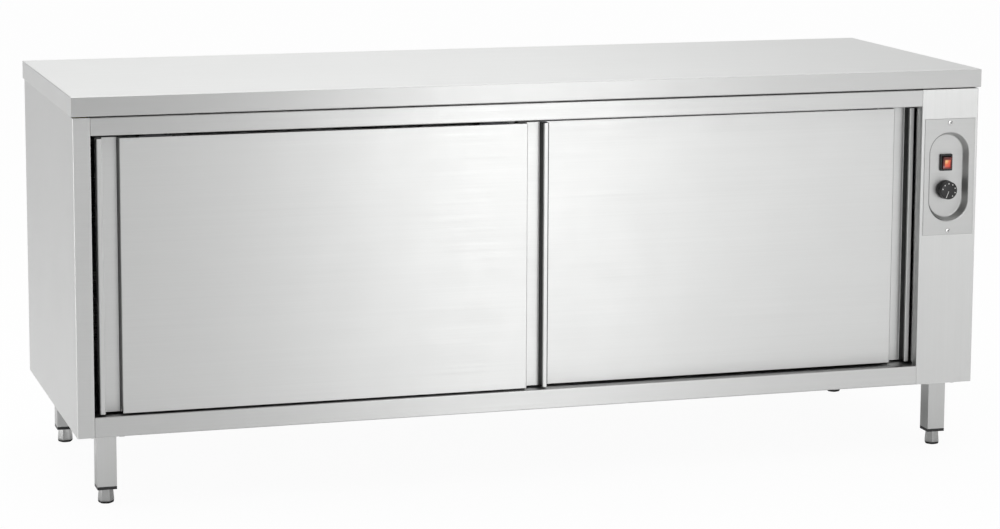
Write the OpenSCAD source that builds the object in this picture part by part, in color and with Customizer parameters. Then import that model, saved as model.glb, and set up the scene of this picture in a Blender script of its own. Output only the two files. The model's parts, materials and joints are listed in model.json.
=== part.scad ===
// Free-standing heated plate cabinet: an insulated steel box under a worktop, closed by two
// overlapping sliding doors, with a fan heater and its controls in a column on the right.
// X runs to the right as seen from the front, Y to the rear and Z up, in millimetres.
// The origin is the middle of the floor area under the worktop.

/* [Overall] */
// Width over the worktop
total_w = 2000; // [1500:10:2400]
// Depth over the worktop
total_d = 700; // [640:10:800]
// Height of the worktop's surface above the floor
total_h = 850; // [780:10:950]
// Height of the case's underside above the floor
ground_clearance = 150; // [130:5:180]

/* [Worktop] */
// Height of the worktop's folded edge
worktop_edge_h = 40; // [34:1:60]
// Thickness of the worktop's sheet
worktop_sheet = 1.5; // [1:0.1:2]
// Width of the fold turned in under the worktop's edge
worktop_return = 18; // [12:1:24]
// Outer radius of the worktop's bends
worktop_bend_r = 2; // [0.5:0.1:3]
// Thickness of the board glued under the sheet
worktop_board_t = 18; // [12:1:20]
// How far the worktop stands out past each side
side_overhang = 3; // [1:0.5:8]
// How far the worktop stands out past the front
front_overhang = 5; // [5:0.5:12]
// How far the worktop stands out past the rear
rear_overhang = 5; // [5:0.5:30]
// Dark joint left between the worktop's edge and the front frame
shadow_gap = 3; // [1:0.5:5]
// Width of each channel that stiffens the worktop
stiffener_w = 60; // [40:5:80]
// Distance from the worktop's front and rear edges to the middle of the outer stiffeners
stiffener_inset = 90; // [60:5:150]

/* [Case] */
// Thickness of the case's sheet
sheet = 1; // [0.8:0.1:1.2]
// Outer radius of the front frame's bends
bend_r = 2; // [1.2:0.1:3]
// Width of the left front stile
stile_w = 36; // [30:1:50]
// Height of the top rail's face
top_rail_h = 40; // [38:1:60]
// Height of the sill's face
sill_h = 42; // [34:1:60]
// Width of the control column
column_w = 134; // [126:1:180]
// Depth of the folds on the door side of the front frame
jamb_return = 22; // [16:1:26]
// Depth of the folds on the outer sides of the front frame
side_return = 20; // [14:1:30]
// Width of the folds on the top and rear of the side panels
panel_flange = 30; // [24:1:36]
// Depth of the bay that the doors run in
door_bay_d = 60; // [60:1:80]
// Thickness of the insulated rear wall
rear_wall_t = 40; // [30:1:60]
// Distance that the ceiling hangs below the top rail's edge
ceiling_drop = 4; // [2:0.5:8]
// Height of the folds round the base pan
pan_flange = 15; // [10:1:20]

/* [Doors] */
// Thickness of each door
door_t = 24; // [22:0.5:25]
// Distance between the two door lanes
lane_pitch = 27; // [27:0.5:30]
// Distance from the case's front to the front door's face
door_setback = 6; // [5:0.5:6]
// How far the closed doors overlap in the middle
door_overlap = 105; // [90:0.5:120]
// Gap between the left stile and the closed left door
door_left_gap = 12; // [4:0.5:16]
// Gap between the control column and the closed right door
door_right_gap = 3; // [2:0.5:8]
// Gap under the doors
door_bottom_gap = 4.5; // [1.5:0.5:6]
// Gap over the doors
door_top_gap = 7; // [5:0.5:7]
// Width of the lip at each end of a door
lip_w = 11; // [10:0.5:16]
// Width of each handle channel at the front
channel_w = 36.5; // [26:0.5:38]
// How far each side of a handle channel leans in at its floor
channel_draft = 3; // [1:0.5:5]
// Outer radius of the lip's outer edge
lip_r = 3; // [1.5:0.5:4]
// Depth of the folds that close the bottom of a door
door_flange = 7; // [5:0.5:7]
// Depth of the guide groove in a door's bottom edge
groove_depth = 12; // [11:1:20]

/* [Door running gear] */
// Outer radius of a door roller
roller_r = 9.5; // [8:0.1:9.5]
// Width of a door roller
roller_w = 5.5; // [4:0.1:5.5]
// Radius of a roller's axle
axle_r = 2.5; // [2:0.1:3]
// Radial clearance of a roller on its axle
axle_clearance = 0.05; // [0.02:0.01:0.1]
// Distance from a door's end to the middle of its hanger
hanger_inset = 120; // [80:5:200]
// Width of a hanger's upright plate
hanger_w = 40; // [30:1:60]
// Thickness of the hangers
hanger_t = 2; // [1.5:0.1:2.5]
// Length of the foot that a hanger stands on
hanger_foot_w = 64; // [60:1:90]
// Height of the track's running ledge above the top rail's edge
ledge_rise = 11; // [10:0.5:12]
// Thickness of the track's walls
track_t = 2; // [1.5:0.1:2]
// Length of each stop on the track
stop_l = 30; // [20:1:50]
// Length of the centre guide
guide_l = 30; // [20:1:36]
// How far the centre guide stands back from the closed left door's handle channel
guide_hidden = 1.5; // [0.5:0.5:4]
// Side clearance of a guide fin in a door's groove
guide_clearance = 1; // [0.5:0.1:1.5]

/* [Shelf] */
// Height of the shelf's surface above the cavity's floor
shelf_rise = 290; // [200:5:380]
// Height of the shelf's folded edge
shelf_edge_h = 30; // [20:1:40]
// Gap between the shelf and each side wall
shelf_side_gap = 12; // [11:0.5:20]
// Gap between the shelf and the doors' bay
shelf_front_gap = 30; // [10:1:60]
// Gap between the shelf and the rear wall
shelf_rear_gap = 20; // [5:1:60]
// Width of a shelf upright
upright_w = 25; // [20:1:40]
// Depth of a shelf upright
upright_d = 8; // [6:0.5:8]
// Distance from the front and the rear of the cavity to an upright's middle
upright_inset = 110; // [100:5:160]
// Distance between the slots in an upright
slot_pitch = 50; // [40:5:80]

/* [Legs] */
// Side of a leg's square tube
leg_w = 40; // [35:1:50]
// Wall of a leg's tube
leg_wall = 1.5; // [1:0.1:2]
// Distance from the case's side to the leg
leg_side_inset = 45; // [30:1:60]
// Distance from the case's front to the front legs
leg_front_inset = 36; // [30:1:60]
// Distance from the case's rear to the rear legs
leg_rear_inset = 61; // [30:1:80]
// Side of the plate on top of a leg
leg_plate_w = 80; // [76:1:90]
// Thickness of the plate on top of a leg
leg_plate_t = 3; // [2:0.5:5]
// Radius of the bolts through a leg's plate
leg_bolt_r = 4; // [3:0.5:4]
// Distance of the bolts from the leg's middle
leg_bolt_offset = 30; // [29:0.5:32]
// Height of a leg insert's flange
insert_flange_h = 6.5; // [4:0.5:8]
// Length of a leg insert's plug
insert_plug_h = 28; // [20:1:36]
// Height of a levelling foot, with its pad
foot_h = 31; // [26:1:36]
// Width across flats of a foot at its top
foot_top_af = 26.5; // [22:0.5:30]
// Width across flats of a foot at its bottom
foot_bottom_af = 30; // [26:0.5:34]
// Thickness of the pad under a foot
pad_t = 5; // [3:0.5:6]
// Radius of a foot's screw
foot_screw_r = 5; // [4:0.5:6]
// Length of a foot's screw
foot_screw_l = 46; // [40:1:50]

/* [Controls] */
// Width of the control plate
plate_w = 120; // [106:1:122]
// Height of the control plate
plate_h = 258; // [240:1:280]
// Thickness of the control plate
plate_t = 2; // [1:0.5:2]
// Distance from the top rail's edge to the middle of the control plate
plate_drop = 157; // [140:1:200]
// Width of the recess in the control plate
recess_w = 92; // [84:1:96]
// Height of the recess
recess_h = 195; // [180:1:210]
// Depth of the recess
recess_d = 20; // [18:1:21]
// How far the recess narrows towards its floor, on each side
recess_draft = 5; // [2:0.5:8]
// Distance of the switch above the middle of the plate
switch_rise = 30; // [26:1:40]
// Width of the switch's bezel
bezel_w = 28.5; // [26:0.5:32]
// Height of the switch's bezel
bezel_h = 37; // [35:0.5:42]
// Width of the rocker
rocker_w = 21; // [18:0.5:21]
// Height of the rocker
rocker_h = 27.2; // [24:0.1:27.2]
// Angle that the rocker leans to each side
rocker_tilt = 8; // [5:1:8]
// Distance of the knob below the middle of the plate
knob_drop = 30.5; // [28:0.5:45]
// Radius of the knob
knob_r = 20; // [15:0.5:22]
// Height of the knob
knob_h = 21; // [16:0.5:21]
// Radius of the thermostat's spindle
spindle_r = 3; // [2:0.1:4]
// Radial clearance of the spindle in its bush
spindle_clearance = 0.05; // [0.02:0.01:0.1]

/* [Heating] */
// Distance of the fan behind the middle of the case
fan_y = 60; // [40:5:100]
// Height of the fan above the cavity's floor
fan_rise = 140; // [125:5:220]
// Radius of the fan's impeller
fan_r = 68; // [50:1:72]
// Width of the impeller's blades
blade_w = 30; // [20:1:32]
// Radius of the heating ring
ring_r = 88; // [84:1:94]
// Radius of the heating element's tube
element_r = 4; // [3:0.5:5]
// Radius of the fan motor
motor_r = 35; // [30:1:40]
// Length of the fan motor
motor_l = 55; // [40:1:56]
// Radius of the motor's shaft
shaft_r = 4; // [3:0.5:5]
// Radial clearance of the shaft in the motor's bearing
shaft_clearance = 0.05; // [0.02:0.01:0.1]
// Bore of the cable gland
gland_bore_r = 5; // [4:0.5:6]

/* [Hidden] */
$fn = 48;

// Segments in each bend of a folded sheet
BEND_STEPS = 3;
// Length by which a cut runs past the sheet that it cuts
OVER = 1;

// Case
half_w = total_w / 2;
half_d = total_d / 2;
case_l = -half_w + side_overhang;
case_r = half_w - side_overhang;
case_f = -half_d + front_overhang;
case_b = half_d - rear_overhang;
case_bot = ground_clearance;
case_top = total_h - worktop_edge_h;
face_top = case_top - shadow_gap;
open_l = case_l + stile_w;
open_r = case_r - column_w;
open_bot = case_bot + sill_h;
open_top = case_top - top_rail_h;
jamb_b = case_f + jamb_return;
cav_f = case_f + door_bay_d;
cav_b = case_b - rear_wall_t;
cav_top = open_top - ceiling_drop;
rear_panel_f = case_b - 2 * sheet;
// Free height over the base pan for the nuts and ends of the leg bolts
base_gap = 8;
slab_bot = case_bot + sheet + base_gap;
sill_return = 12;
rail_flange = 45;
rail_hem = 3.5;
fold_h = 14;
// Width of the side panels' rear folds, and how far the rear panel laps behind them
rear_flange = 20;
rear_lap = 10;
stiffener_clear = 2;
board_clear = 1;

// Doors
door_w = (open_r - open_l - door_left_gap - door_right_gap + door_overlap) / 2;
door_bot = open_bot + door_bottom_gap;
door_h = open_top - door_top_gap - door_bot;
left_door_x = open_l + door_left_gap;
right_door_x = open_r - door_right_gap - door_w;
door_travel = open_r - door_right_gap - door_w - left_door_x;
front_lane = case_f + door_setback;
rear_lane = front_lane + lane_pitch;
channel_depth = door_t - 2 * sheet;
grip_w = lip_w + channel_w;
fold_r = 1.5;
core_clear = 0.5;

// Running gear, measured from the face of a door
door_mid = door_t / 2;
hanger_y = 8;
hanger_foot_y = 3;
hanger_foot_t = 3;
ledge_y = hanger_y + hanger_t + 1.5;
lip_t = 1;
lip_h = 2;
roller_side_gap = 0.3;
roller_y = ledge_y + lip_t + roller_side_gap;
web_y = roller_y + roller_w + 0.7;
roller_run_gap = 0.2;
ledge_top = open_top + ledge_rise;
axle_z = ledge_top + roller_r + roller_run_gap;
axle_head_r = 4;
axle_head_t = 1.2;
track_top = face_top - sheet;
track_end_gap = 0.5;
hanger_top = axle_z + 6.5;
stop_gap = 0.3;
stop_top = ledge_top + 18;

// Centre guide
guide_mid = left_door_x + door_w - grip_w - guide_hidden - guide_l / 2;
guide_base_t = 1.2;
guide_h = groove_depth + door_bottom_gap - 2;
fin_w = door_t - 2 * door_flange - 2 * guide_clearance;

// Shelf
shelf_l = open_l + shelf_side_gap;
shelf_r = open_r - shelf_side_gap;
shelf_f = cav_f + shelf_front_gap;
shelf_b = cav_b - shelf_rear_gap;
shelf_z = open_bot + shelf_rise;
shelf_seat = shelf_z - shelf_edge_h;
upright_f = cav_f + upright_inset;
upright_b = cav_b - upright_inset;
upright_bot = open_bot + 25;
upright_top = cav_top - 25;
clip_w = 20;
clip_t = 3;
clip_h = 22;
slot_w = 12;
slot_h = 4;

// Legs
leg_xs = [case_l + leg_side_inset + leg_w / 2, case_r - leg_side_inset - leg_w / 2];
leg_ys = [case_f + leg_front_inset + leg_w / 2, case_b - leg_rear_inset - leg_w / 2];
tube_bot = foot_h + insert_flange_h;
foot_gap = 0.3;
screw_clearance = 0.05;
bolt_clear = 0.5;
bolt_head_r = 6.5;
bolt_head_h = 3;
bolt_end = 4;
pad_bottom_shrink = 2;

// Controls
plate_x = (open_r + case_r) / 2;
plate_z = open_top - plate_drop;
plate_f = case_f - plate_t;
recess_floor = plate_f + recess_d;
recess_t = 1.2;
recess_clear = 1;
switch_z = plate_z + switch_rise;
knob_z = plate_z - knob_drop;
bezel_t = 6;
rocker_sink = 2;
housing_wall = 1.2;
rocker_gap_x = 0.3;
rocker_gap_z = 0.7;
housing_w = rocker_w + 2 * (rocker_gap_x + housing_wall);
housing_h = rocker_h + 2 * (rocker_gap_z + housing_wall);
housing_d = 24;
rocker_y = recess_floor - bezel_t + rocker_sink;
rocker_proud = 8;
rocker_dip = 2;
rocker_back = 3;
rocker_pin_r = 1.5;
rocker_pin_l = 1;
rocker_reach = rocker_w / 2 + rocker_gap_x + rocker_pin_l;
pin_clearance = 0.05;
knob_gap = 1;
knob_base = recess_floor - knob_gap;
spindle_reach = 15;
spindle_tail = 17;
bush_r = 5;
bush_clear = 0.2;
thermostat_w = 44;
thermostat_d = 36;
capillary_r = 1;
bulb_r = 3.5;
bulb_l = 75;
bulb_off = 6;
capillary_y = cav_f + 15;

// Screws of the control plate and of the service cover
pan_screw_r = 2;
pan_head_r = 5.5;
pan_head_h = 2.4;
pan_screw_l = 10;
pan_screw_clear = 0.25;
plate_screw_inset = 9;
cover_lap = 15;
cover_l = open_r + 8;
cover_r = case_r - rear_flange - 1;
cover_bot = open_bot + 25;
cover_top = open_top - 25;
cover_screw_inset = 7;
cover_screw_xs = [cover_l + cover_screw_inset, cover_r - cover_screw_inset];
cover_screw_zs = [cover_bot + cover_screw_inset, (cover_bot + cover_top) / 2, cover_top - cover_screw_inset];
louvre_h = 6;
louvre_pitch = 40;

// Heating
fan_z = open_bot + fan_rise;
partition_r = open_r + sheet;
bracket_gap = 58;
bracket_x = partition_r + bracket_gap;
bracket_w = 220;
bracket_t = 1.5;
spacer_r = 5;
spacer_off = 100;
impeller_gap = 6;
outlet_inset = 55;
outlet_half_w = 30;
outlet_start = 60;
outlet_pitch = 56;
impeller_x = partition_r + impeller_gap;
disc_t = 1.5;
hub_r = 12;
blade_count = 12;
blade_root = 0.55;
shaft_engage = 20;
element_x = impeller_x + 8;
element_turns = 2;
element_pitch = 12;
element_leg_y = 14;
element_tail = 12;
gland_hex_r = 11;
gland_thread_r = 8;
gland_nut_h = 5;
gland_drop = 20;
gland_top = 9;
block_l = 90;
block_w = 22;
block_h = 26;
block_z = open_bot + 12;
block_gap = 53;
block_y = rear_panel_f - block_gap - block_l;
gland_side = 32;
gland_off = 40;
gland_x = plate_x - gland_side;
gland_y = block_y - gland_off;
block_ways = 5;

steel = [0.78, 0.79, 0.79];
bright_steel = [0.86, 0.87, 0.87];
galvanised = [0.66, 0.68, 0.70];
black_plastic = [0.07, 0.07, 0.08];
red_lens = [0.80, 0.10, 0.05];
nylon = [0.90, 0.89, 0.85];
wool = [0.80, 0.74, 0.52];
board_brown = [0.55, 0.40, 0.26];

// ---- Folded sheet ----

// Unit vector from a to b
function heading(a, b) = (b - a) / norm(b - a);
// Normal on the left of the way from a to b
function left_of(a, b) = let (d = heading(a, b)) [-d.y, d.x];
function flat2(p) = [p.x, p.y];

// Points of an arc of radius r that rounds the corner b between a and c
function corner_arc(a, b, c, r) =
    let (u = heading(b, a), v = heading(b, c), half = acos(u * v) / 2,
         middle = b + (u + v) / norm(u + v) * r / sin(half), reach = r / tan(half),
         first = b + u * reach, last = b + v * reach)
    [for (k = [0 : BEND_STEPS])
        let (w = first + (last - first) * k / BEND_STEPS)
        middle + heading(middle, w) * r];

// A line of [x, y] or [x, y, radius] points with its corners rounded
function bent(line) =
    [for (i = [0 : len(line) - 1])
        let (p = line[i], inner = i > 0 && i < len(line) - 1 && len(p) > 2)
        each inner ? corner_arc(flat2(line[i - 1]), flat2(p), flat2(line[i + 1]), p[2]) : [flat2(p)]];

// The line moved by t to its left
function moved_left(line, t) =
    [for (i = [0 : len(line) - 1])
        let (n1 = left_of(line[max(i - 1, 0)], line[max(i, 1)]),
             last = len(line) - 1,
             n2 = left_of(line[min(i, last - 1)], line[min(i + 1, last)]))
        line[i] + (n1 + n2) * t / (1 + n1 * n2)];

// Section of a sheet of thickness t whose outer face follows the line, with the metal on its left
module fold(line, t) {
    outer = bent(line);
    inner = moved_left(outer, t);
    polygon(concat(outer, [for (i = [len(inner) - 1 : -1 : 0]) inner[i]]));
}

// Rectangle from a to b with all its corners rounded
module round_rect(a, b, r) {
    ring = [a, [b.x, a.y], b, [a.x, b.y]];
    polygon([for (i = [0 : 3]) each corner_arc(ring[(i + 3) % 4], ring[i], ring[(i + 1) % 4], r)]);
}

module box(a, b) {
    translate(a) cube(b - a);
}

// A section drawn in Y and Z, run from x0 to x1
module along_x(x0, x1) {
    translate([x0, 0, 0]) rotate([90, 0, 90]) linear_extrude(x1 - x0) children();
}

// A section drawn in X and Z, run from y0 to y1
module along_y(y0, y1) {
    translate([0, y1, 0]) rotate([90, 0, 0]) linear_extrude(y1 - y0) children();
}

// A section drawn in X and Y, run from z0 to z1
module along_z(z0, z1) {
    translate([0, 0, z0]) linear_extrude(z1 - z0) children();
}

// Round bar along Y through x and z
module bar_y(x, z, y0, y1, r) {
    translate([x, y1, z]) rotate([90, 0, 0]) cylinder(h = y1 - y0, r = r);
}

// Round bar along X through y and z
module bar_x(y, z, x0, x1, r) {
    translate([x0, y, z]) rotate([0, 90, 0]) cylinder(h = x1 - x0, r = r);
}

// ---- Worktop ----

module worktop() {
    inner_w = half_w - worktop_sheet;
    inner_d = half_d - worktop_sheet;
    mouth_w = half_w - worktop_return;
    mouth_d = half_d - worktop_return;
    color(steel) difference() {
        intersection() {
            along_x(-half_w, half_w)
                round_rect([-half_d, case_top], [half_d, total_h], worktop_bend_r);
            along_y(-half_d, half_d)
                round_rect([-half_w, case_top], [half_w, total_h], worktop_bend_r);
        }
        box([-inner_w, -inner_d, case_top + worktop_sheet], [inner_w, inner_d, total_h - worktop_sheet]);
        box([-mouth_w, -mouth_d, case_top - OVER], [mouth_w, mouth_d, case_top + 2 * worktop_sheet]);
    }
}

board_bot = total_h - worktop_sheet - worktop_board_t;

module worktop_board() {
    reach_w = half_w - worktop_sheet - board_clear;
    reach_d = half_d - worktop_sheet - board_clear;
    color(board_brown)
        box([-reach_w, -reach_d, board_bot], [reach_w, reach_d, total_h - worktop_sheet]);
}

module worktop_stiffeners() {
    reach = half_w - worktop_return - stiffener_clear;
    half = stiffener_w / 2;
    color(galvanised)
        for (k = [-1, 0, 1])
            along_x(-reach, reach)
                translate([k * (half_d - stiffener_inset), 0])
                    fold([[half, case_top], [half, board_bot, bend_r],
                          [-half, board_bot, bend_r], [-half, case_top]], worktop_sheet);
}

// ---- Case ----

side_f = case_f + side_return + 0.5;
joggle = 12;

// Left side panel; the right one is its mirror image
module side_panel() {
    box([case_l, side_f, case_bot], [case_l + sheet, case_b, case_top]);
    box([case_l, side_f, case_top - sheet], [case_l + panel_flange, case_b, case_top]);
    box([case_l, case_b - sheet, case_bot], [case_l + rear_flange, case_b, case_top]);
    // Joggled edge that the front frame's fold laps over
    box([case_l + sheet, side_f - joggle, case_bot + pan_flange + 2],
        [case_l + 2 * sheet, side_f + joggle, face_top - joggle]);
}

module left_outer_side() {
    color(steel) side_panel();
}

module right_outer_side() {
    color(steel) mirror([1, 0, 0]) side_panel();
}

module cover_screw_bars(y0, y1, r) {
    for (x = cover_screw_xs, z = cover_screw_zs)
        bar_y(x, z, y0, y1, r);
}

module rear_outer_panel() {
    reach = rear_flange - rear_lap;
    color(steel) difference() {
        box([case_l + reach, rear_panel_f, case_bot + sheet],
            [case_r - reach, rear_panel_f + sheet, case_top - sheet]);
        box([cover_l + cover_lap, rear_panel_f - OVER, cover_bot + cover_lap],
            [cover_r - cover_lap, rear_panel_f + sheet + OVER, cover_top - cover_lap]);
        cover_screw_bars(rear_panel_f - OVER, case_b, pan_screw_r + pan_screw_clear);
    }
}

module service_cover() {
    rows = floor((cover_top - cover_bot - 4 * cover_lap) / louvre_pitch);
    edge = cover_lap + 4;
    color(steel) difference() {
        box([cover_l, case_b - sheet, cover_bot], [cover_r, case_b, cover_top]);
        for (k = [0 : rows], low = [cover_bot + 2 * cover_lap + k * louvre_pitch])
            box([cover_l + edge, case_b - sheet - OVER, low],
                [cover_r - edge, case_b + OVER, low + louvre_h]);
        cover_screw_bars(case_b - sheet - OVER, case_b + OVER, pan_screw_r + pan_screw_clear);
    }
}

module leg_bolt_places() {
    for (x = leg_xs, y = leg_ys, i = [-1, 1], j = [-1, 1])
        translate([x + i * leg_bolt_offset, y + j * leg_bolt_offset, 0]) children();
}

module base_pan() {
    left = case_l + sheet;
    right = case_r - sheet;
    front = case_f + sill_return;
    rear = rear_panel_f;
    top = case_bot + pan_flange;
    color(steel) difference() {
        union() {
            box([left, front, case_bot], [right, rear, case_bot + sheet]);
            box([left, front, case_bot], [left + sheet, rear, top]);
            box([right - sheet, front, case_bot], [right, rear, top]);
            box([left, rear - sheet, case_bot], [right, rear, top]);
        }
        translate([0, 0, case_bot - OVER]) {
            leg_bolt_places() cylinder(h = sheet + 2 * OVER, r = leg_bolt_r + bolt_clear);
            translate([gland_x, gland_y, 0]) cylinder(h = sheet + 2 * OVER, r = gland_thread_r);
        }
    }
}

// Notch in the foot of the front frame that the base pan and the leg bolts reach into
module pan_notch(x0, x1) {
    box([x0, case_f + sill_return, case_bot - OVER], [x1, jamb_b + OVER, slab_bot]);
}

module left_stile() {
    color(steel) difference() {
        along_z(case_bot, face_top)
            fold([[case_l, case_f + side_return], [case_l, case_f, bend_r],
                  [open_l, case_f, bend_r], [open_l, jamb_b]], sheet);
        pan_notch(case_l + sheet, open_l + OVER);
    }
}

module top_rail() {
    color(steel) along_x(open_l, open_r)
        fold([[case_f + rail_flange, face_top], [case_f, face_top, bend_r],
              [case_f, open_top, bend_r], [case_f + rail_hem, open_top]], sheet);
}

module bottom_rail() {
    color(steel) along_x(open_l, open_r)
        fold([[cav_f, open_bot - fold_h], [cav_f, open_bot, bend_r], [case_f, open_bot, bend_r],
              [case_f, case_bot, bend_r], [case_f + sill_return, case_bot]], sheet);
}

// Upright oblong of the given width and height at the plate's middle, as round ends and a middle
module oblong_y(w, h, y0, y1) {
    reach = (h - w) / 2;
    for (s = [-1, 1])
        bar_y(plate_x, plate_z + s * reach, y0, y1, w / 2);
    box([plate_x - w / 2, y0, plate_z - reach], [plate_x + w / 2, y1, plate_z + reach]);
}

module plate_screw_bars(y0, y1, r) {
    for (s = [-1, 1])
        bar_y(plate_x, plate_z + s * (plate_h / 2 - plate_screw_inset), y0, y1, r);
}

module control_column() {
    color(steel) difference() {
        along_z(case_bot, face_top)
            fold([[open_r, jamb_b], [open_r, case_f, bend_r],
                  [case_r, case_f, bend_r], [case_r, case_f + side_return]], sheet);
        pan_notch(open_r - OVER, case_r - sheet);
        oblong_y(recess_w + 2 * recess_clear, recess_h + 2 * recess_clear,
                 case_f - OVER, case_f + 2 * sheet);
        plate_screw_bars(case_f - OVER, case_f + 2 * sheet, pan_screw_r + pan_screw_clear);
    }
}

// ---- Heated box ----

module left_liner() {
    color(steel) box([open_l - sheet, jamb_b, slab_bot], [open_l, cav_b + sheet, case_top - sheet]);
}

// Rings of slots that the fan draws air through
module fan_inlet() {
    for (ring = [1 : 3], k = [0 : 11])
        translate([open_r - OVER, fan_y, fan_z]) rotate([30 * k + 15 * (ring % 2), 0, 0])
            translate([0, -3, 16 * ring - 5]) cube([sheet + 2 * OVER, 6, 10]);
}

// Rows of slots that the warm air comes back through
module air_outlets() {
    for (y = [cav_f + outlet_inset, cav_b - outlet_inset], k = [0 : 7]) {
        low = open_bot + outlet_start + k * outlet_pitch;
        box([open_r - OVER, y - outlet_half_w, low], [partition_r + OVER, y + outlet_half_w, low + louvre_h]);
    }
}

module partition() {
    color(steel) difference() {
        box([open_r, jamb_b, case_bot + sheet], [partition_r, rear_panel_f - sheet, case_top]);
        fan_inlet();
        air_outlets();
        bar_x(capillary_y, knob_z, open_r - OVER, partition_r + OVER, 1.5 * capillary_r);
    }
}

module rear_liner() {
    color(steel) box([open_l, cav_b, slab_bot], [open_r, cav_b + sheet, case_top - 2 * sheet]);
}

module cavity_floor() {
    color(steel) union() {
        box([open_l, cav_f, open_bot - sheet], [open_r, cav_b, open_bot]);
        box([open_l, cav_f, open_bot - fold_h], [open_r, cav_f + sheet, open_bot]);
    }
}

module cavity_ceiling() {
    color(steel) union() {
        box([open_l, cav_f, cav_top], [open_r, cav_b, cav_top + sheet]);
        box([open_l, cav_f, cav_top], [open_r, cav_f + sheet, face_top - sheet]);
    }
}

module insulation() {
    slab_top = case_top - 2 * sheet;
    color(wool) union() {
        // Left, rear, base and top slabs
        box([case_l + 2 * sheet, jamb_b, slab_bot], [open_l - sheet, rear_panel_f - sheet, slab_top]);
        box([open_l, cav_b + sheet, slab_bot], [open_r, rear_panel_f - sheet, slab_top]);
        box([open_l, cav_f + sheet, slab_bot], [open_r, cav_b, open_bot - sheet]);
        box([open_l, cav_f + sheet, cav_top + sheet], [open_r, cav_b, slab_top]);
    }
}

// ---- Shelf ----

module shelf() {
    left = shelf_l + sheet;
    right = shelf_r - sheet;
    hem = 15;
    color(bright_steel) difference() {
        box([shelf_l, shelf_f, shelf_seat], [shelf_r, shelf_b, shelf_z]);
        box([left, shelf_f + sheet, shelf_seat + sheet], [right, shelf_b - sheet, shelf_z - sheet]);
        box([left, shelf_f + hem, shelf_seat - OVER], [right, shelf_b - hem, shelf_seat + 2 * sheet]);
    }
}

// An upright on the left wall at y
module left_upright(y) {
    half = upright_w / 2;
    slots = floor((upright_top - upright_bot - slot_pitch) / slot_pitch);
    difference() {
        along_z(upright_bot, upright_top)
            fold([[open_l, y - half], [open_l + upright_d, y - half],
                  [open_l + upright_d, y + half], [open_l, y + half]], sheet);
        for (k = [0 : slots], low = [upright_bot + slot_pitch / 2 + k * slot_pitch])
            translate([open_l + upright_d - sheet - OVER, y - slot_w / 2, low])
                cube([sheet + 2 * OVER, slot_w, slot_h]);
    }
}

module left_clip(y) {
    face = open_l + upright_d;
    box([face, y - clip_w / 2, shelf_seat - clip_h], [face + clip_t, y + clip_w / 2, shelf_seat]);
    box([face, y - clip_w / 2, shelf_seat - clip_t],
        [face + shelf_side_gap + clip_t, y + clip_w / 2, shelf_seat]);
}

// The children on the left wall, and again mirrored on the right wall
module both_walls() {
    children();
    translate([open_l + open_r, 0, 0]) mirror([1, 0, 0]) children();
}

module shelf_uprights() {
    color(bright_steel) both_walls() {
        left_upright(upright_f);
        left_upright(upright_b);
    }
}

module shelf_clips() {
    color(bright_steel) both_walls() {
        left_clip(upright_f);
        left_clip(upright_b);
    }
}

// ---- Track and guide ----

module lane_section(face) {
    // Web, running ledge and the low lip that keeps the roller on it
    translate([face + web_y, ledge_top - track_t]) square([track_t, track_top - ledge_top + track_t]);
    translate([face + ledge_y, ledge_top - track_t]) square([web_y - ledge_y + track_t, track_t]);
    translate([face + ledge_y, ledge_top - track_t]) square([lip_t, track_t + lip_h]);
}

module upper_track() {
    front = front_lane + web_y;
    rear = rear_lane + web_y + track_t;
    color([0.72, 0.73, 0.74]) along_x(open_l + track_end_gap, open_r - track_end_gap) {
        lane_section(front_lane);
        lane_section(rear_lane);
        translate([front, track_top - track_t]) square([rear - front, track_t]);
    }
}

// A stop clamped on the ledge of the lane, from x to x + stop_l
module track_stop(face, x) {
    box([x, face + ledge_y + lip_t, ledge_top], [x + stop_l, face + web_y, stop_top]);
    box([x, face + hanger_y, ledge_top + 2 * lip_h], [x + stop_l, face + web_y, stop_top]);
}

module track_stops() {
    near = hanger_inset - hanger_w / 2 - stop_gap - stop_l;
    far = door_w - hanger_inset + hanger_w / 2 + stop_gap;
    color(black_plastic) union() {
        track_stop(front_lane, left_door_x + near);
        track_stop(front_lane, left_door_x + far + door_travel);
        track_stop(rear_lane, right_door_x + near - door_travel);
        track_stop(rear_lane, right_door_x + far);
    }
}

module door_guide() {
    left = guide_mid - guide_l / 2;
    right = guide_mid + guide_l / 2;
    front = front_lane + door_mid;
    rear = rear_lane + door_mid;
    color(black_plastic) union() {
        box([left, front - fin_w / 2, open_bot], [right, rear + fin_w / 2, open_bot + guide_base_t]);
        for (y = [front, rear])
            box([left, y - fin_w / 2, open_bot], [right, y + fin_w / 2, open_bot + guide_h]);
    }
}

// ---- Doors, drawn from their lower left front corner ----

// The folded front: a lip, a handle channel, the face, and the same again mirrored
module door_skin() {
    w = door_w;
    lean = grip_w - channel_draft;
    cap = 0.5;
    along_z(0, door_h)
        fold([[0, door_t], [0, 0, lip_r], [lip_w, 0, fold_r],
              [lip_w + channel_draft, channel_depth, fold_r], [lean, channel_depth, fold_r],
              [grip_w, 0, fold_r], [w - grip_w, 0, fold_r],
              [w - lean, channel_depth, fold_r], [w - lip_w - channel_draft, channel_depth, fold_r],
              [w - lip_w, 0, fold_r], [w, 0, lip_r], [w, door_t]], sheet);
    // Caps in the ends of the two lips
    for (z = [0, door_h - sheet], s = [0, 1])
        translate([s * w, 0, z]) mirror([s, 0, 0]) linear_extrude(sheet)
            polygon([[cap, lip_r], [lip_r, cap], [lip_w - fold_r, cap],
                     [lip_w + channel_draft - cap - sheet, channel_depth], [cap, channel_depth]]);
    // Folds that close the bottom and the top behind the face
    box([grip_w, cap, 0], [w - grip_w, door_flange, sheet]);
    box([grip_w, cap, door_h - sheet], [w - grip_w, door_t - sheet, door_h]);
}

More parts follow.
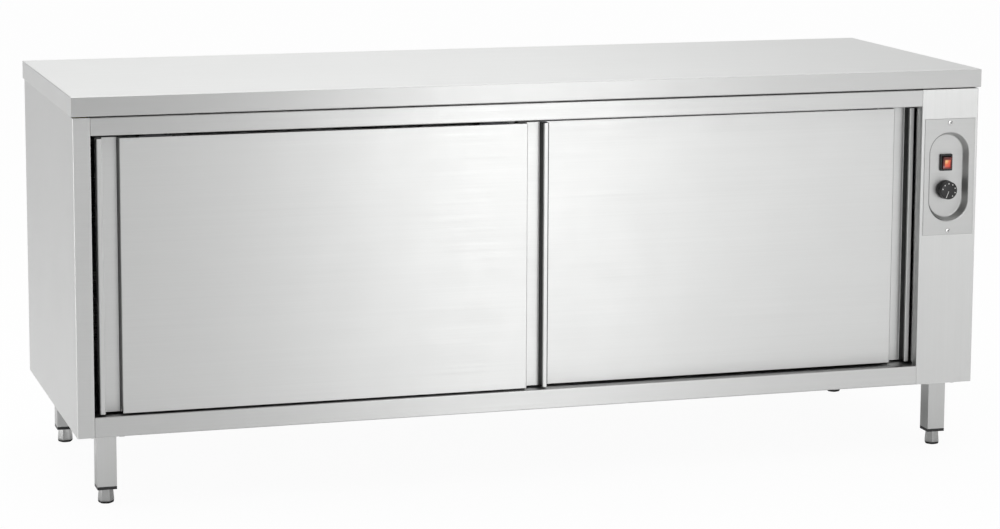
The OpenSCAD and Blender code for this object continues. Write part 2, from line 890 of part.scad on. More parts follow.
module door_front() {
    start = lip_w + channel_w / 2;
    difference() {
        door_skin();
        // Groove that the centre guide passes along
        box([start, door_flange, -OVER], [door_w - start, door_t - door_flange, groove_depth]);
    }
}

module door_back() {
    box([sheet, door_t - sheet, 0], [door_w - sheet, door_t, door_h]);
    box([grip_w + sheet, door_t - door_flange, 0], [door_w - grip_w - sheet, door_t, sheet]);
}

module door_core() {
    edge = grip_w + sheet + core_clear;
    box([edge, sheet, sheet + groove_depth], [door_w - edge, door_t - sheet, door_h - sheet]);
}

hanger_xs = [hanger_inset, door_w - hanger_inset];

module door_hangers() {
    for (x = hanger_xs) {
        box([x - hanger_foot_w / 2, hanger_foot_y, door_h],
            [x + hanger_foot_w / 2, door_t - hanger_foot_y, door_h + hanger_foot_t]);
        box([x - hanger_w / 2, hanger_y, door_h],
            [x + hanger_w / 2, hanger_y + hanger_t, hanger_top - door_bot]);
        bar_y(x, axle_z - door_bot, hanger_y, roller_y + roller_w, axle_r);
        bar_y(x, axle_z - door_bot, hanger_y - axle_head_t, hanger_y, axle_head_r);
    }
}

module door_roller(x) {
    difference() {
        bar_y(x, axle_z - door_bot, roller_y, roller_y + roller_w, roller_r);
        bar_y(x, axle_z - door_bot, roller_y - OVER, roller_y + roller_w + OVER, axle_r + axle_clearance);
    }
}

module at_left_door() {
    translate([left_door_x, front_lane, door_bot]) children();
}

module at_right_door() {
    translate([right_door_x, rear_lane, door_bot]) children();
}

module left_door_front() { color(steel) at_left_door() door_front(); }
module left_door_back() { color(bright_steel) at_left_door() door_back(); }
module left_door_core() { color(wool) at_left_door() door_core(); }
module left_door_hangers() { color(galvanised) at_left_door() door_hangers(); }
module left_door_roller_left() { color(nylon) at_left_door() door_roller(hanger_xs[0]); }
module left_door_roller_right() { color(nylon) at_left_door() door_roller(hanger_xs[1]); }
module right_door_front() { color(steel) at_right_door() door_front(); }
module right_door_back() { color(bright_steel) at_right_door() door_back(); }
module right_door_core() { color(wool) at_right_door() door_core(); }
module right_door_hangers() { color(galvanised) at_right_door() door_hangers(); }
module right_door_roller_left() { color(nylon) at_right_door() door_roller(hanger_xs[0]); }
module right_door_roller_right() { color(nylon) at_right_door() door_roller(hanger_xs[1]); }

// ---- Legs and feet ----

module leg_places() {
    for (x = leg_xs, y = leg_ys)
        translate([x, y, 0]) children();
}

// Square bar of side w from z0 to z1 about the Z axis
module square_bar(w, z0, z1) {
    box([-w / 2, -w / 2, z0], [w / 2, w / 2, z1]);
}

module legs() {
    plate_bot = case_bot - leg_plate_t;
    color(steel) leg_places() difference() {
        union() {
            square_bar(leg_w, tube_bot, plate_bot);
            square_bar(leg_plate_w, plate_bot, case_bot);
        }
        square_bar(leg_w - 2 * leg_wall, tube_bot - OVER, plate_bot);
        for (i = [-1, 1], j = [-1, 1])
            translate([i * leg_bolt_offset, j * leg_bolt_offset, plate_bot - OVER])
                cylinder(h = leg_plate_t + 2 * OVER, r = leg_bolt_r + bolt_clear);
    }
}

module leg_inserts() {
    color(black_plastic) leg_places() difference() {
        union() {
            square_bar(leg_w, foot_h, tube_bot);
            square_bar(leg_w - 2 * leg_wall, foot_h, tube_bot + insert_plug_h);
        }
        translate([0, 0, foot_h - OVER])
            cylinder(h = insert_flange_h + insert_plug_h + 2 * OVER, r = foot_screw_r + screw_clearance);
    }
}

module leg_bolts() {
    head_top = case_bot - leg_plate_t;
    color(bright_steel) leg_bolt_places() union() {
        translate([0, 0, head_top - bolt_head_h]) cylinder(h = bolt_head_h, r = bolt_head_r, $fn = 6);
        translate([0, 0, head_top - OVER])
            cylinder(h = OVER + leg_plate_t + sheet + bolt_end, r = leg_bolt_r);
        // Nut welded over the pan
        translate([0, 0, case_bot + sheet]) cylinder(h = bolt_end - 1, r = bolt_head_r, $fn = 6);
    }
}

// Hexagon from z0 to z1, af0 across its flats at the bottom and af1 at the top
module hexagon(z0, z1, af0, af1) {
    wide = 4 * max(af0, af1);
    intersection_for (k = [0 : 2])
        rotate([0, 0, 60 * k]) along_x(-wide / 2, wide / 2)
            polygon([[-af0 / 2, z0], [af0 / 2, z0], [af1 / 2, z1], [-af1 / 2, z1]]);
}

// A foot at the leg with the given column and row, turned by angle
module foot(column, row, angle) {
    top = foot_h - foot_gap;
    translate([leg_xs[column], leg_ys[row], 0]) rotate([0, 0, angle]) union() {
        hexagon(pad_t, top, foot_bottom_af, foot_top_af);
        translate([0, 0, pad_t + OVER]) cylinder(h = top - pad_t - OVER + foot_screw_l, r = foot_screw_r);
    }
}

module pad(column, row, angle) {
    translate([leg_xs[column], leg_ys[row], 0]) rotate([0, 0, angle])
        hexagon(0, pad_t, foot_bottom_af - pad_bottom_shrink, foot_bottom_af);
}

module foot_front_left() { color(bright_steel) foot(0, 0, 0); }
module foot_front_right() { color(bright_steel) foot(1, 0, 30); }
module foot_rear_left() { color(bright_steel) foot(0, 1, 4); }
module foot_rear_right() { color(bright_steel) foot(1, 1, 17); }
module pad_front_left() { color(black_plastic) pad(0, 0, 0); }
module pad_front_right() { color(black_plastic) pad(1, 0, 30); }
module pad_rear_left() { color(black_plastic) pad(0, 1, 4); }
module pad_rear_right() { color(black_plastic) pad(1, 1, 17); }

// ---- Controls ----

// Oblong of the given front size that leans in by draft towards its back
module leaning_oblong(w, h, y0, y1, draft) {
    reach = (h - w) / 2;
    for (s = [-1, 1])
        translate([plate_x, y1, plate_z + s * reach]) rotate([90, 0, 0])
            cylinder(h = y1 - y0, r1 = w / 2 - draft, r2 = w / 2);
    along_z(plate_z - reach, plate_z + reach)
        polygon([[plate_x - w / 2, y0], [plate_x + w / 2, y0],
                 [plate_x + w / 2 - draft, y1], [plate_x - w / 2 + draft, y1]]);
}

module control_plate() {
    back = recess_floor + recess_t;
    lean = recess_draft / recess_d;
    wall = 2 * recess_t - 2 * lean * plate_t;
    color(bright_steel) difference() {
        union() {
            box([plate_x - plate_w / 2, plate_f, plate_z - plate_h / 2],
                [plate_x + plate_w / 2, case_f, plate_z + plate_h / 2]);
            leaning_oblong(recess_w + wall, recess_h + wall, case_f - OVER, back,
                           lean * (back - case_f + OVER));
        }
        leaning_oblong(recess_w, recess_h, plate_f, recess_floor, recess_draft);
        plate_screw_bars(plate_f - OVER, case_f + OVER, pan_screw_r + pan_screw_clear);
        box([plate_x - housing_w / 2, recess_floor - OVER, switch_z - housing_h / 2],
            [plate_x + housing_w / 2, back + OVER, switch_z + housing_h / 2]);
        bar_y(plate_x, knob_z, recess_floor - OVER, back + OVER, bush_r + bush_clear);
    }
}

// A screw whose head bears on y, pointing to the rear when dir is 1 and to the front when it is -1
module pan_screw(x, y, z, dir) {
    head = [y - dir * pan_head_h, y];
    shank = [y - dir, y + dir * pan_screw_l];
    bar_y(x, z, min(head), max(head), pan_head_r);
    bar_y(x, z, min(shank), max(shank), pan_screw_r);
}

module panel_screws() {
    color(bright_steel) union() {
        for (s = [-1, 1])
            pan_screw(plate_x, plate_f, plate_z + s * (plate_h / 2 - plate_screw_inset), 1);
        for (x = cover_screw_xs, z = cover_screw_zs)
            pan_screw(x, case_b, z, -1);
    }
}

module switch_housing() {
    front = recess_floor - bezel_t;
    back = recess_floor + housing_d;
    hole_w = rocker_w + 2 * rocker_gap_x;
    hole_h = rocker_h + 2 * rocker_gap_z;
    color(black_plastic) difference() {
        union() {
            box([plate_x - bezel_w / 2, front, switch_z - bezel_h / 2],
                [plate_x + bezel_w / 2, recess_floor, switch_z + bezel_h / 2]);
            box([plate_x - housing_w / 2, front, switch_z - housing_h / 2],
                [plate_x + housing_w / 2, back, switch_z + housing_h / 2]);
        }
        box([plate_x - hole_w / 2, front - OVER, switch_z - hole_h / 2],
            [plate_x + hole_w / 2, back - housing_wall, switch_z + hole_h / 2]);
        bar_x(rocker_y, switch_z, plate_x - rocker_reach - foot_gap, plate_x + rocker_reach + foot_gap,
              rocker_pin_r + pin_clearance);
    }
}

module switch_rocker() {
    half = rocker_h / 2;
    color(red_lens) translate([0, rocker_y, switch_z]) rotate([rocker_tilt, 0, 0]) union() {
        along_x(plate_x - rocker_w / 2, plate_x + rocker_w / 2)
            polygon([[rocker_back, -half], [rocker_back, half], [-rocker_proud, half],
                     [rocker_dip - rocker_proud, 0], [-rocker_proud, -half]]);
        bar_x(0, 0, plate_x - rocker_reach, plate_x + rocker_reach, rocker_pin_r);
    }
}

module knob() {
    color(black_plastic) difference() {
        translate([plate_x, knob_base, knob_z]) rotate([90, 0, 0])
            cylinder(h = knob_h, r1 = knob_r + 1, r2 = knob_r);
        bar_y(plate_x, knob_z, knob_base - spindle_reach, knob_base + OVER, spindle_r);
    }
}

module thermostat_spindle() {
    color(galvanised)
        bar_y(plate_x, knob_z, knob_base - spindle_reach, recess_floor + spindle_tail, spindle_r);
}

module thermostat() {
    half = thermostat_w / 2;
    front = recess_floor + recess_t;
    back = front + thermostat_d;
    elbow = [plate_x - half - 8, capillary_y, knob_z];
    bulb_x = open_r - bulb_off;
    color(galvanised) difference() {
        union() {
            box([plate_x - half, front, knob_z - half], [plate_x + half, back, knob_z + half]);
            bar_y(plate_x, knob_z, recess_floor, front + OVER, bush_r);
            // Capillary from the body, round an elbow and through the partition to its bulb
            bar_x(front + half, knob_z, elbow.x, plate_x, capillary_r);
            bar_y(elbow.x, knob_z, front + half, capillary_y, capillary_r);
            bar_x(capillary_y, knob_z, bulb_x, elbow.x, capillary_r);
            translate([elbow.x, front + half, knob_z]) sphere(r = capillary_r);
            translate(elbow) sphere(r = capillary_r);
            bar_y(bulb_x, knob_z, capillary_y, capillary_y + bulb_l, bulb_r);
        }
        bar_y(plate_x, knob_z, recess_floor - OVER, recess_floor + spindle_tail + foot_gap,
              spindle_r + spindle_clearance);
    }
}

// ---- Heating ----

element_feet = [-element_leg_y, element_leg_y];
element_leg_z = fan_z - sqrt(ring_r * ring_r - element_leg_y * element_leg_y);

module fan_bracket() {
    half = bracket_w / 2;
    color(galvanised) difference() {
        union() {
            box([bracket_x, fan_y - half, fan_z - half], [bracket_x + bracket_t, fan_y + half, fan_z + half]);
            for (i = [-1, 1], j = [-1, 1])
                bar_x(fan_y + i * spacer_off, fan_z + j * spacer_off,
                      partition_r, bracket_x + bracket_t / 2, spacer_r);
        }
        bar_x(fan_y, fan_z, bracket_x - OVER, bracket_x + bracket_t + OVER, 2 * shaft_r);
        for (y = element_feet)
            bar_x(fan_y + y, element_leg_z, bracket_x - OVER, bracket_x + bracket_t + OVER, element_r + 1);
    }
}

module fan_motor() {
    face = bracket_x + bracket_t;
    color(galvanised) difference() {
        union() {
            bar_x(fan_y, fan_z, face, face + motor_l, motor_r);
            bar_x(fan_y, fan_z, face, face + 3, motor_r + 8);
        }
        bar_x(fan_y, fan_z, face - OVER, face + shaft_engage + OVER, shaft_r + shaft_clearance);
    }
}

module fan_impeller() {
    disc_x = impeller_x + blade_w;
    root = blade_root * fan_r;
    color(bright_steel) union() {
        bar_x(fan_y, fan_z, disc_x, disc_x + disc_t, fan_r);
        bar_x(fan_y, fan_z, disc_x, disc_x + 12, hub_r);
        bar_x(fan_y, fan_z, disc_x, bracket_x + bracket_t + shaft_engage, shaft_r);
        for (k = [0 : blade_count - 1])
            translate([impeller_x, fan_y, fan_z]) rotate([k * 360 / blade_count, 0, 0])
                translate([0, -disc_t / 2, root]) cube([blade_w + disc_t / 2, disc_t, fan_r - root - 1]);
    }
}

module heating_element() {
    last_x = element_x + (element_turns - 1) * element_pitch;
    color([0.35, 0.33, 0.31]) union() {
        for (k = [0 : element_turns - 1])
            translate([element_x + k * element_pitch, fan_y, fan_z]) rotate([0, 90, 0])
                rotate_extrude() translate([ring_r, 0]) circle(r = element_r);
        for (y = element_feet) {
            bar_x(fan_y + y, element_leg_z, element_x, bracket_x + bracket_t + element_tail, element_r);
            bar_x(fan_y + y, element_leg_z, bracket_x - 3, bracket_x, element_r + 3);
        }
    }
}

module terminal_block() {
    way = block_l / block_ways;
    color(nylon) difference() {
        box([partition_r, block_y, block_z], [partition_r + block_h, block_y + block_l, block_z + block_w]);
        for (k = [0 : block_ways - 1], z = [0.28, 0.72])
            bar_x(block_y + (k + 0.5) * way, block_z + z * block_w, partition_r + block_h - 8,
                  partition_r + block_h + OVER, 2.5);
        for (k = [1 : block_ways - 1])
            box([partition_r + block_h - 6, block_y + k * way - 1, block_z - OVER],
                [partition_r + block_h + OVER, block_y + k * way + 1, block_z + block_w + OVER]);
    }
}

module cable_gland() {
    color(black_plastic) translate([gland_x, gland_y, case_bot]) difference() {
        union() {
            translate([0, 0, sheet]) cylinder(h = gland_nut_h, r = gland_hex_r, $fn = 6);
            translate([0, 0, -1]) cylinder(h = gland_top + 1, r = gland_thread_r - 0.1);
            translate([0, 0, -gland_nut_h]) cylinder(h = gland_nut_h, r = gland_hex_r, $fn = 6);
            translate([0, 0, -gland_drop]) cylinder(h = gland_drop - 1, r = gland_thread_r + 1);
        }
        translate([0, 0, -gland_drop - OVER])
            cylinder(h = gland_drop + gland_top + 2 * OVER, r = gland_bore_r);
    }
}

// ---- Nodes ----

worktop();
worktop_board();
worktop_stiffeners();
left_outer_side();
right_outer_side();
rear_outer_panel();
service_cover();
base_pan();
left_stile();
top_rail();
bottom_rail();
control_column();
left_liner();
partition();
rear_liner();
cavity_floor();
cavity_ceiling();
insulation();
upper_track();
track_stops();
door_guide();
left_door_front();
left_door_back();
left_door_core();
left_door_hangers();
left_door_roller_left();
left_door_roller_right();
right_door_front();
right_door_back();
right_door_core();
right_door_hangers();
right_door_roller_left();
right_door_roller_right();
shelf();
shelf_uprights();
shelf_clips();
legs();
leg_inserts();
leg_bolts();
foot_front_left();
foot_front_right();
foot_rear_left();
foot_rear_right();
pad_front_left();
pad_front_right();
pad_rear_left();
pad_rear_right();
control_plate();
panel_screws();
switch_housing();
switch_rocker();
knob();
thermostat_spindle();
thermostat();
fan_bracket();
fan_motor();
fan_impeller();
heating_element();
terminal_block();
cable_gland();
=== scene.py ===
"""Finishes, small fittings, lights and camera for a heated plate cabinet in brushed steel.

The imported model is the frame: its pieces keep their shapes and get procedural finishes, and the
pressed control plate, switch, knob, screws, louvres, feet, rollers and fan get detailed pieces.
Sizes are in metres, X to the right, Y to the rear and Z up."""

import json
import math

import bmesh
import bpy
from bpy.props import FloatProperty, FloatVectorProperty, IntProperty, PointerProperty
from bpy.types import Operator, Panel, PropertyGroup
from mathutils import Matrix, Vector


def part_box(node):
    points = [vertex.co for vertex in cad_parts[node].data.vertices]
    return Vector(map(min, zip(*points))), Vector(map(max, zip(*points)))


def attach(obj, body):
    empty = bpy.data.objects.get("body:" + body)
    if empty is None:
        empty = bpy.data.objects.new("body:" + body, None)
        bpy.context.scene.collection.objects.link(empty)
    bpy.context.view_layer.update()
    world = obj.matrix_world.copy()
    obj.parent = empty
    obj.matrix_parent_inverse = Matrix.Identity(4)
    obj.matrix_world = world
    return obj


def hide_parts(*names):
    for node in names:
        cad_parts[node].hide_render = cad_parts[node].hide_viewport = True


bl_info = {
    "name": "Plate Cabinet Finish",
    "version": (1, 0, 0),
    "blender": (4, 5, 0),
    "location": "View3D > Sidebar > Cabinet",
    "description": "Finishes and fittings of a heated plate cabinet with sliding doors",
    "category": "Object",
}

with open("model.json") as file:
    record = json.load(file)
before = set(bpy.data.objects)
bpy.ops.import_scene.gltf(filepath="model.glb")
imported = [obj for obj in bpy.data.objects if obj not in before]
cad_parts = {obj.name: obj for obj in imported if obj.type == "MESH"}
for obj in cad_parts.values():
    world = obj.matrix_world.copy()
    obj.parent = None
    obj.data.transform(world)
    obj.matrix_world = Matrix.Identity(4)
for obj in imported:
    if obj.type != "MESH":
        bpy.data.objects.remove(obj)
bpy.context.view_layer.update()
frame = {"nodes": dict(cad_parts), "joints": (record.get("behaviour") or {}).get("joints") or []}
NODES = frame["nodes"]
JOINTS = {j["name"]: j for j in frame["joints"]}


# ---------------------------------------------------------------- settings


class SteelSettings(PropertyGroup):
    tone: FloatVectorProperty(name="Steel", description="Colour of the brushed outer steel",
                              subtype="COLOR", size=3, min=0, max=1, default=(0.72, 0.724, 0.718))
    roughness: FloatProperty(name="Roughness", description="Roughness of the brushed steel",
                             subtype="FACTOR", min=0.05, max=1, default=0.40)
    grain: FloatProperty(name="Grain", description="Strength of the brushing's bump",
                         subtype="FACTOR", min=0, max=1, default=0.10)
    wave: FloatProperty(name="Waviness", description="Strength of the slow waves in flat sheet",
                        subtype="FACTOR", min=0, max=1, default=0.008)
    inner_tone: FloatVectorProperty(name="Inner steel", description="Colour of the smooth inner sheet",
                                    subtype="COLOR", size=3, min=0, max=1, default=(0.62, 0.62, 0.61))
    zinc_tone: FloatVectorProperty(name="Zinc", description="Colour of the galvanised parts",
                                   subtype="COLOR", size=3, min=0, max=1, default=(0.52, 0.54, 0.56))


class ControlSettings(PropertyGroup):
    plastic: FloatVectorProperty(name="Black plastic", description="Colour of the black plastic",
                                 subtype="COLOR", size=3, min=0, max=1, default=(0.016, 0.016, 0.017))
    lens: FloatVectorProperty(name="Rocker", description="Colour of the lit rocker",
                              subtype="COLOR", size=3, min=0, max=1, default=(0.16, 0.016, 0.012))
    glow: FloatProperty(name="Glow", description="Strength of the lamp inside the rocker",
                        min=0, max=20, default=0.75)
    recess_w: FloatProperty(name="Recess width", description="Width of the oblong recess",
                            unit="LENGTH", min=0.05, max=0.1, default=0.092)
    recess_h: FloatProperty(name="Recess height", description="Height of the oblong recess",
                            unit="LENGTH", min=0.1, max=0.22, default=0.195)
    rim: FloatProperty(name="Rim", description="Radius of the recess's rim", unit="LENGTH",
                       min=0.0005, max=0.004, default=0.003)
    foot: FloatProperty(name="Foot", description="Radius where the recess's wall meets its floor",
                        unit="LENGTH", min=0.0005, max=0.006, default=0.0028)
    draft: FloatProperty(name="Draft", description="How far the recess's wall leans in", unit="LENGTH",
                         min=0, max=0.01, default=0.005)
    bezel: FloatProperty(name="Bezel", description="Height of the switch's bezel above the recess's floor",
                         unit="LENGTH", min=0.002, max=0.008, default=0.006)
    ticks: IntProperty(name="Dial marks", description="Number of marks round the knob's face",
                       min=2, max=24, default=7)
    dial_start: FloatProperty(name="First mark",
                              description="Angle of the first mark, clockwise from the top",
                              subtype="ANGLE", default=math.radians(-77))
    dial_end: FloatProperty(name="Last mark", description="Angle of the last mark, clockwise from the top",
                            subtype="ANGLE", default=math.radians(145))
    pointer: FloatProperty(name="Pointer", description="Angle of the white line, clockwise from the top",
                           subtype="ANGLE", default=math.radians(201.9))


class FittingSettings(PropertyGroup):
    louvre_rise: FloatProperty(name="Louvre rise", description="How far a louvre stands out",
                               unit="LENGTH", min=0.001, max=0.004, default=0.0035)
    screw_head: FloatProperty(name="Screw head", description="Radius of the pan-head screws",
                              unit="LENGTH", min=0.002, max=0.006, default=0.0055)
    screw_rise: FloatProperty(name="Screw rise", description="How far the pan-head screws stand out",
                              unit="LENGTH", min=0.001, max=0.003, default=0.0023)
    blades: IntProperty(name="Fan blades", description="Number of the impeller's blades",
                        min=3, max=40, default=12)


class StageSettings(PropertyGroup):
    eye: FloatVectorProperty(name="Camera", description="Place of the camera", subtype="TRANSLATION",
                             unit="LENGTH", size=3, default=(-1.8800, -6.1517, 1.5635))
    yaw: FloatProperty(name="Yaw", description="Camera's turn to the right of +Y",
                       subtype="ANGLE", default=0.2971)
    pitch: FloatProperty(name="Pitch", description="Camera's tilt below the horizon",
                         subtype="ANGLE", default=0.1445)
    roll: FloatProperty(name="Roll", description="Camera's roll", subtype="ANGLE", default=0.0043)
    lens: FloatProperty(name="Lens", description="Focal length in millimetres on a 36 mm sensor",
                        min=20, max=300, default=105.50)
    shift: FloatProperty(name="Shift", description="Downward shift of the lens, as a share of the width",
                         min=-0.5, max=0.5, default=-0.10)
    key: FloatProperty(name="Key", description="Power of the tall softbox in front", unit="POWER",
                       min=0, default=39)
    fill: FloatProperty(name="Fill", description="Power of the softbox at the front right", unit="POWER",
                        min=0, default=16)
    side: FloatProperty(name="Side", description="Power of the low softbox at the left", unit="POWER",
                        min=0, default=50)
    top: FloatProperty(name="Top", description="Power of the softbox overhead", unit="POWER",
                       min=0, default=44)
    room_front: FloatProperty(name="Room in front", description="Level of the room before the object",
                              subtype="FACTOR", min=0, max=1, default=0.26)
    room_back: FloatProperty(name="Room behind", description="Level of the room behind the object",
                             subtype="FACTOR", min=0, max=1, default=0.55)
    room_top: FloatProperty(name="Ceiling", description="Level that the ceiling adds", subtype="FACTOR",
                            min=0, max=1, default=0.73)


# ---------------------------------------------------------------- material tools


class Tree:
    """Small helper that adds nodes and links to a material or geometry tree."""

    def __init__(self, tree):
        self.tree = tree

    def add(self, kind, inputs=None, **props):
        node = self.tree.nodes.new(kind)
        for key, value in props.items():
            setattr(node, key, value)
        self.fill(node, inputs or {})
        return node

    def fill(self, node, inputs):
        """Links or sets a node's inputs."""
        for key, value in inputs.items():
            self.put(node.inputs[key], value)

    def put(self, socket, value):
        if isinstance(value, bpy.types.NodeSocket):
            self.tree.links.new(value, socket)
        elif value is not None:
            socket.default_value = value

    def math(self, operation, a, b=0.0):
        return self.add("ShaderNodeMath", {0: a, 1: b}, operation=operation).outputs[0]

    def times(self, a, b):
        return self.math("MULTIPLY", a, b)

    def vector(self, operation, a, b=None, result="Vector"):
        return self.add("ShaderNodeVectorMath", {0: a, 1: b}, operation=operation).outputs[result]

    def mix(self, factor, a, b):
        node = self.add("ShaderNodeMix", data_type="RGBA", clamp_factor=True)
        for index, value in ((0, factor), (6, a), (7, b)):
            if isinstance(value, (tuple, list)) and len(value) == 3:
                value = (*value, 1.0)
            self.put(node.inputs[index], value)
        return node.outputs[2]

    def ramp(self, value, low, high, to_low=0.0, to_high=1.0):
        return self.add("ShaderNodeMapRange", {0: value, 1: low, 2: high, 3: to_low, 4: to_high},
                        clamp=True).outputs[0]

    def blend(self, value, low, high, a, b, most=1.0):
        """Goes from a towards b, as far as most, while value goes from low to high."""
        return self.mix(self.ramp(value, low, high, 0.0, most), a, b)

    def place(self):
        return self.add("ShaderNodeTexCoord").outputs["Object"]

    def normal(self):
        return self.add("ShaderNodeNewGeometry").outputs["Normal"]

    def split(self, vector):
        return self.add("ShaderNodeSeparateXYZ", {0: vector}).outputs

    def stretch(self, scale=(1.0, 1.0, 1.0)):
        """Object coordinates scaled along each axis."""
        return self.add("ShaderNodeMapping", {"Vector": self.place(), "Scale": scale}).outputs[0]

    def noise(self, vector, scale, detail=3.0, rough=0.55, distortion=0.0):
        return self.add("ShaderNodeTexNoise", {"Vector": vector, "Scale": scale, "Detail": detail,
                                               "Roughness": rough, "Distortion": distortion}).outputs[0]

    def cells(self, **inputs):
        """A grey of its own for each cell of a cracked pattern."""
        colour = self.add("ShaderNodeTexVoronoi", inputs).outputs["Color"]
        return self.add("ShaderNodeSeparateColor", {0: colour}).outputs[0]

    def bump(self, strength, distance, height, normal=None):
        return self.add("ShaderNodeBump", {"Strength": strength, "Distance": distance,
                                           "Height": height, "Normal": normal}).outputs[0]

    def tangent(self, axis):
        return self.add("ShaderNodeTangent", direction_type="RADIAL", axis=axis).outputs[0]


def emptied(owner):
    """The node tree of a material or a world, with nothing in it."""
    owner.use_nodes = True
    owner.node_tree.nodes.clear()
    return Tree(owner.node_tree)


def new_material(name):
    mat = bpy.data.materials.new(name)
    t = emptied(mat)
    shader = t.add("ShaderNodeBsdfPrincipled")
    t.add("ShaderNodeOutputMaterial", {"Surface": shader.outputs[0]})
    return mat, t, shader


def shade(color, factor, lift=0.0):
    return tuple(min(1.0, c * factor + lift) for c in color)


def edge_wear(t, size, most):
    """Up to most along convex edges, from the difference between the true and the rounded normal."""
    bevel = t.add("ShaderNodeBevel", {"Radius": size}, samples=4).outputs[0]
    return t.times(t.ramp(t.vector("DOT_PRODUCT", bevel, t.normal(), "Value"), 0.995, 0.90), most)


def door_channel_shade(low, high, right_end_shade=0.0):
    """Marks where shade is painted: the walls of a door's handle channels, and by the given share the last
    bend at its right end.
    """
    half = (high.x - low.x) / 2

    def mask(t, at, facing):
        side = t.ramp(t.math("ABSOLUTE", facing["X"]), 0.55, 0.9)
        deep = t.ramp(at["Y"], low.y + 0.0015, low.y + 0.006)
        off = t.math("ABSOLUTE", t.math("SUBTRACT", at["X"], (low.x + high.x) / 2))
        inner = t.ramp(off, half - 0.0005, half - 0.002)
        last_bend_shade = t.ramp(at["X"], high.x - 0.0035, high.x - 0.0012, 0.0, right_end_shade)
        return t.math("MAXIMUM", t.times(t.times(side, deep), inner), last_bend_shade)
    return mask


def ledge_shade(t, at, facing):
    """Marks the faces that look up, where shade is painted on the sill's ledge."""
    return t.ramp(facing["Z"], 0.5, 0.8)


def front_face_shade(t, at, facing):
    """Marks the faces that look to the front, where shade is painted on the worktop's edge."""
    return t.ramp(facing["Y"], -0.5, -0.8)


def left_face_shade(t, at, facing):
    """Marks the faces that look to the left, where shade is painted on the legs."""
    return t.ramp(facing["X"], -0.5, -0.8)


def rim_shade(front, rim):
    """Marks the roll of the recess's rim where it turns away to the right, where a dark line of reflection
    is painted.
    """
    def mask(t, at, facing):
        band = t.times(t.ramp(at["Y"], front + 0.0001, front + 0.0004),
                       t.ramp(at["Y"], front + rim + 0.002, front + rim + 0.001))
        return t.times(band, t.ramp(facing["X"], 0.12, 0.35))
    return mask


def brushed(name, tone, roughness, grain, wave, along="X", mask=None, masked=0.06, strength=0.85,
            flat_top=False):
    """Brushed sheet steel. The brushing runs along X, Y or Z, and the highlight spreads across it.

    Where mask, which is given the place and the direction of the surface, is 1 the tone is
    multiplied by the given factor, which paints shade there, and on the plate's rim a dark reflection. With
    flat_top the faces that look up are brushed along X too."""
    mat, t, shader = new_material(name)

    def drawn(slow, fast):
        return t.stretch(tuple(slow if axis == along else fast for axis in "XYZ"))

    lines = t.noise(drawn(3.0, 900.0), 1.0, 2.0, 0.6)
    bands = t.noise(drawn(1.2, 130.0), 1.0, 3.0, 0.6)
    cloud = t.noise(t.stretch(), 2.2, 4.0, 0.6)
    smudge = t.noise(t.stretch(), 9.0, 5.0, 0.62, 0.8)
    waves = t.noise(t.stretch(), 3.0, 1.0, 0.4)
    colour = t.blend(bands, 0.35, 0.65, shade(tone, 0.99), shade(tone, 1.008))
    colour = t.blend(lines, 0.35, 0.65, colour, shade(tone, 0.93), 0.25)
    colour = t.blend(cloud, 0.35, 0.7, colour, shade(tone, 0.975), 0.5)
    colour = t.mix(edge_wear(t, 0.0012, 0.6), colour, shade(tone, 1.22))
    # Painted shade: the masked places are darkened in colour
    if mask:
        colour = t.mix(mask(t, t.split(t.place()), t.split(t.normal())), colour, shade(tone, masked))
    rough = t.ramp(smudge, 0.3, 0.75, roughness * 0.975, roughness * 1.035)
    rough = t.math("ADD", rough, t.ramp(lines, 0.3, 0.7, -0.03, 0.03))
    tangent = t.tangent("X" if along == "Z" else "Z")
    if flat_top:
        up = t.ramp(t.split(t.normal())["Z"], 0.7, 0.8)
        tangent = t.add("ShaderNodeMix", {0: up, 4: tangent, 5: t.tangent("Y")},
                        data_type="VECTOR").outputs[1]
    t.fill(shader, {"Base Color": colour, "Roughness": rough, "Tangent": tangent, "Metallic": 1.0,
                    "Normal": t.bump(grain, 0.00025, lines, t.bump(wave, 0.02, waves)),
                    "Anisotropic": strength, "Anisotropic Rotation": 0.25})
    return mat


def zinc(name, tone):
    """Galvanised sheet with its spangle."""
    mat, t, shader = new_material(name)
    grey = t.cells(Vector=t.stretch(), Scale=160.0, Randomness=1.0)
    dirt = t.noise(t.stretch(), 30.0, 4.0)
    colour = t.blend(grey, 0.0, 1.0, shade(tone, 0.86), shade(tone, 1.12))
    colour = t.blend(dirt, 0.45, 0.8, colour, shade(tone, 0.6), 0.4)
    colour = t.mix(edge_wear(t, 0.0006, 0.5), colour, shade(tone, 1.4))
    t.fill(shader, {"Base Color": colour, "Roughness": t.ramp(grey, 0.0, 1.0, 0.34, 0.5),
                    "Normal": t.bump(0.15, 0.0003, dirt), "Metallic": 0.95})
    return mat


def plastic(name, tone, roughness, grain_scale=900.0, grain=0.12):
    """Moulded plastic or rubber with a fine texture and rubbed edges."""
    mat, t, shader = new_material(name)
    fine = t.noise(t.stretch(), grain_scale, 2.0)
    dust = t.noise(t.stretch(), 40.0, 5.0, 0.65)
    colour = t.blend(dust, 0.4, 0.8, tone, shade(tone, 1.25, 0.004), 0.6)
    colour = t.mix(edge_wear(t, 0.0005, 0.35), colour, shade(tone, 1.6, 0.02))
    t.fill(shader, {"Base Color": colour, "Normal": t.bump(grain, 0.0001, fine),
                    "Roughness": t.ramp(dust, 0.3, 0.8, roughness * 0.9, roughness * 1.2)})
    return mat


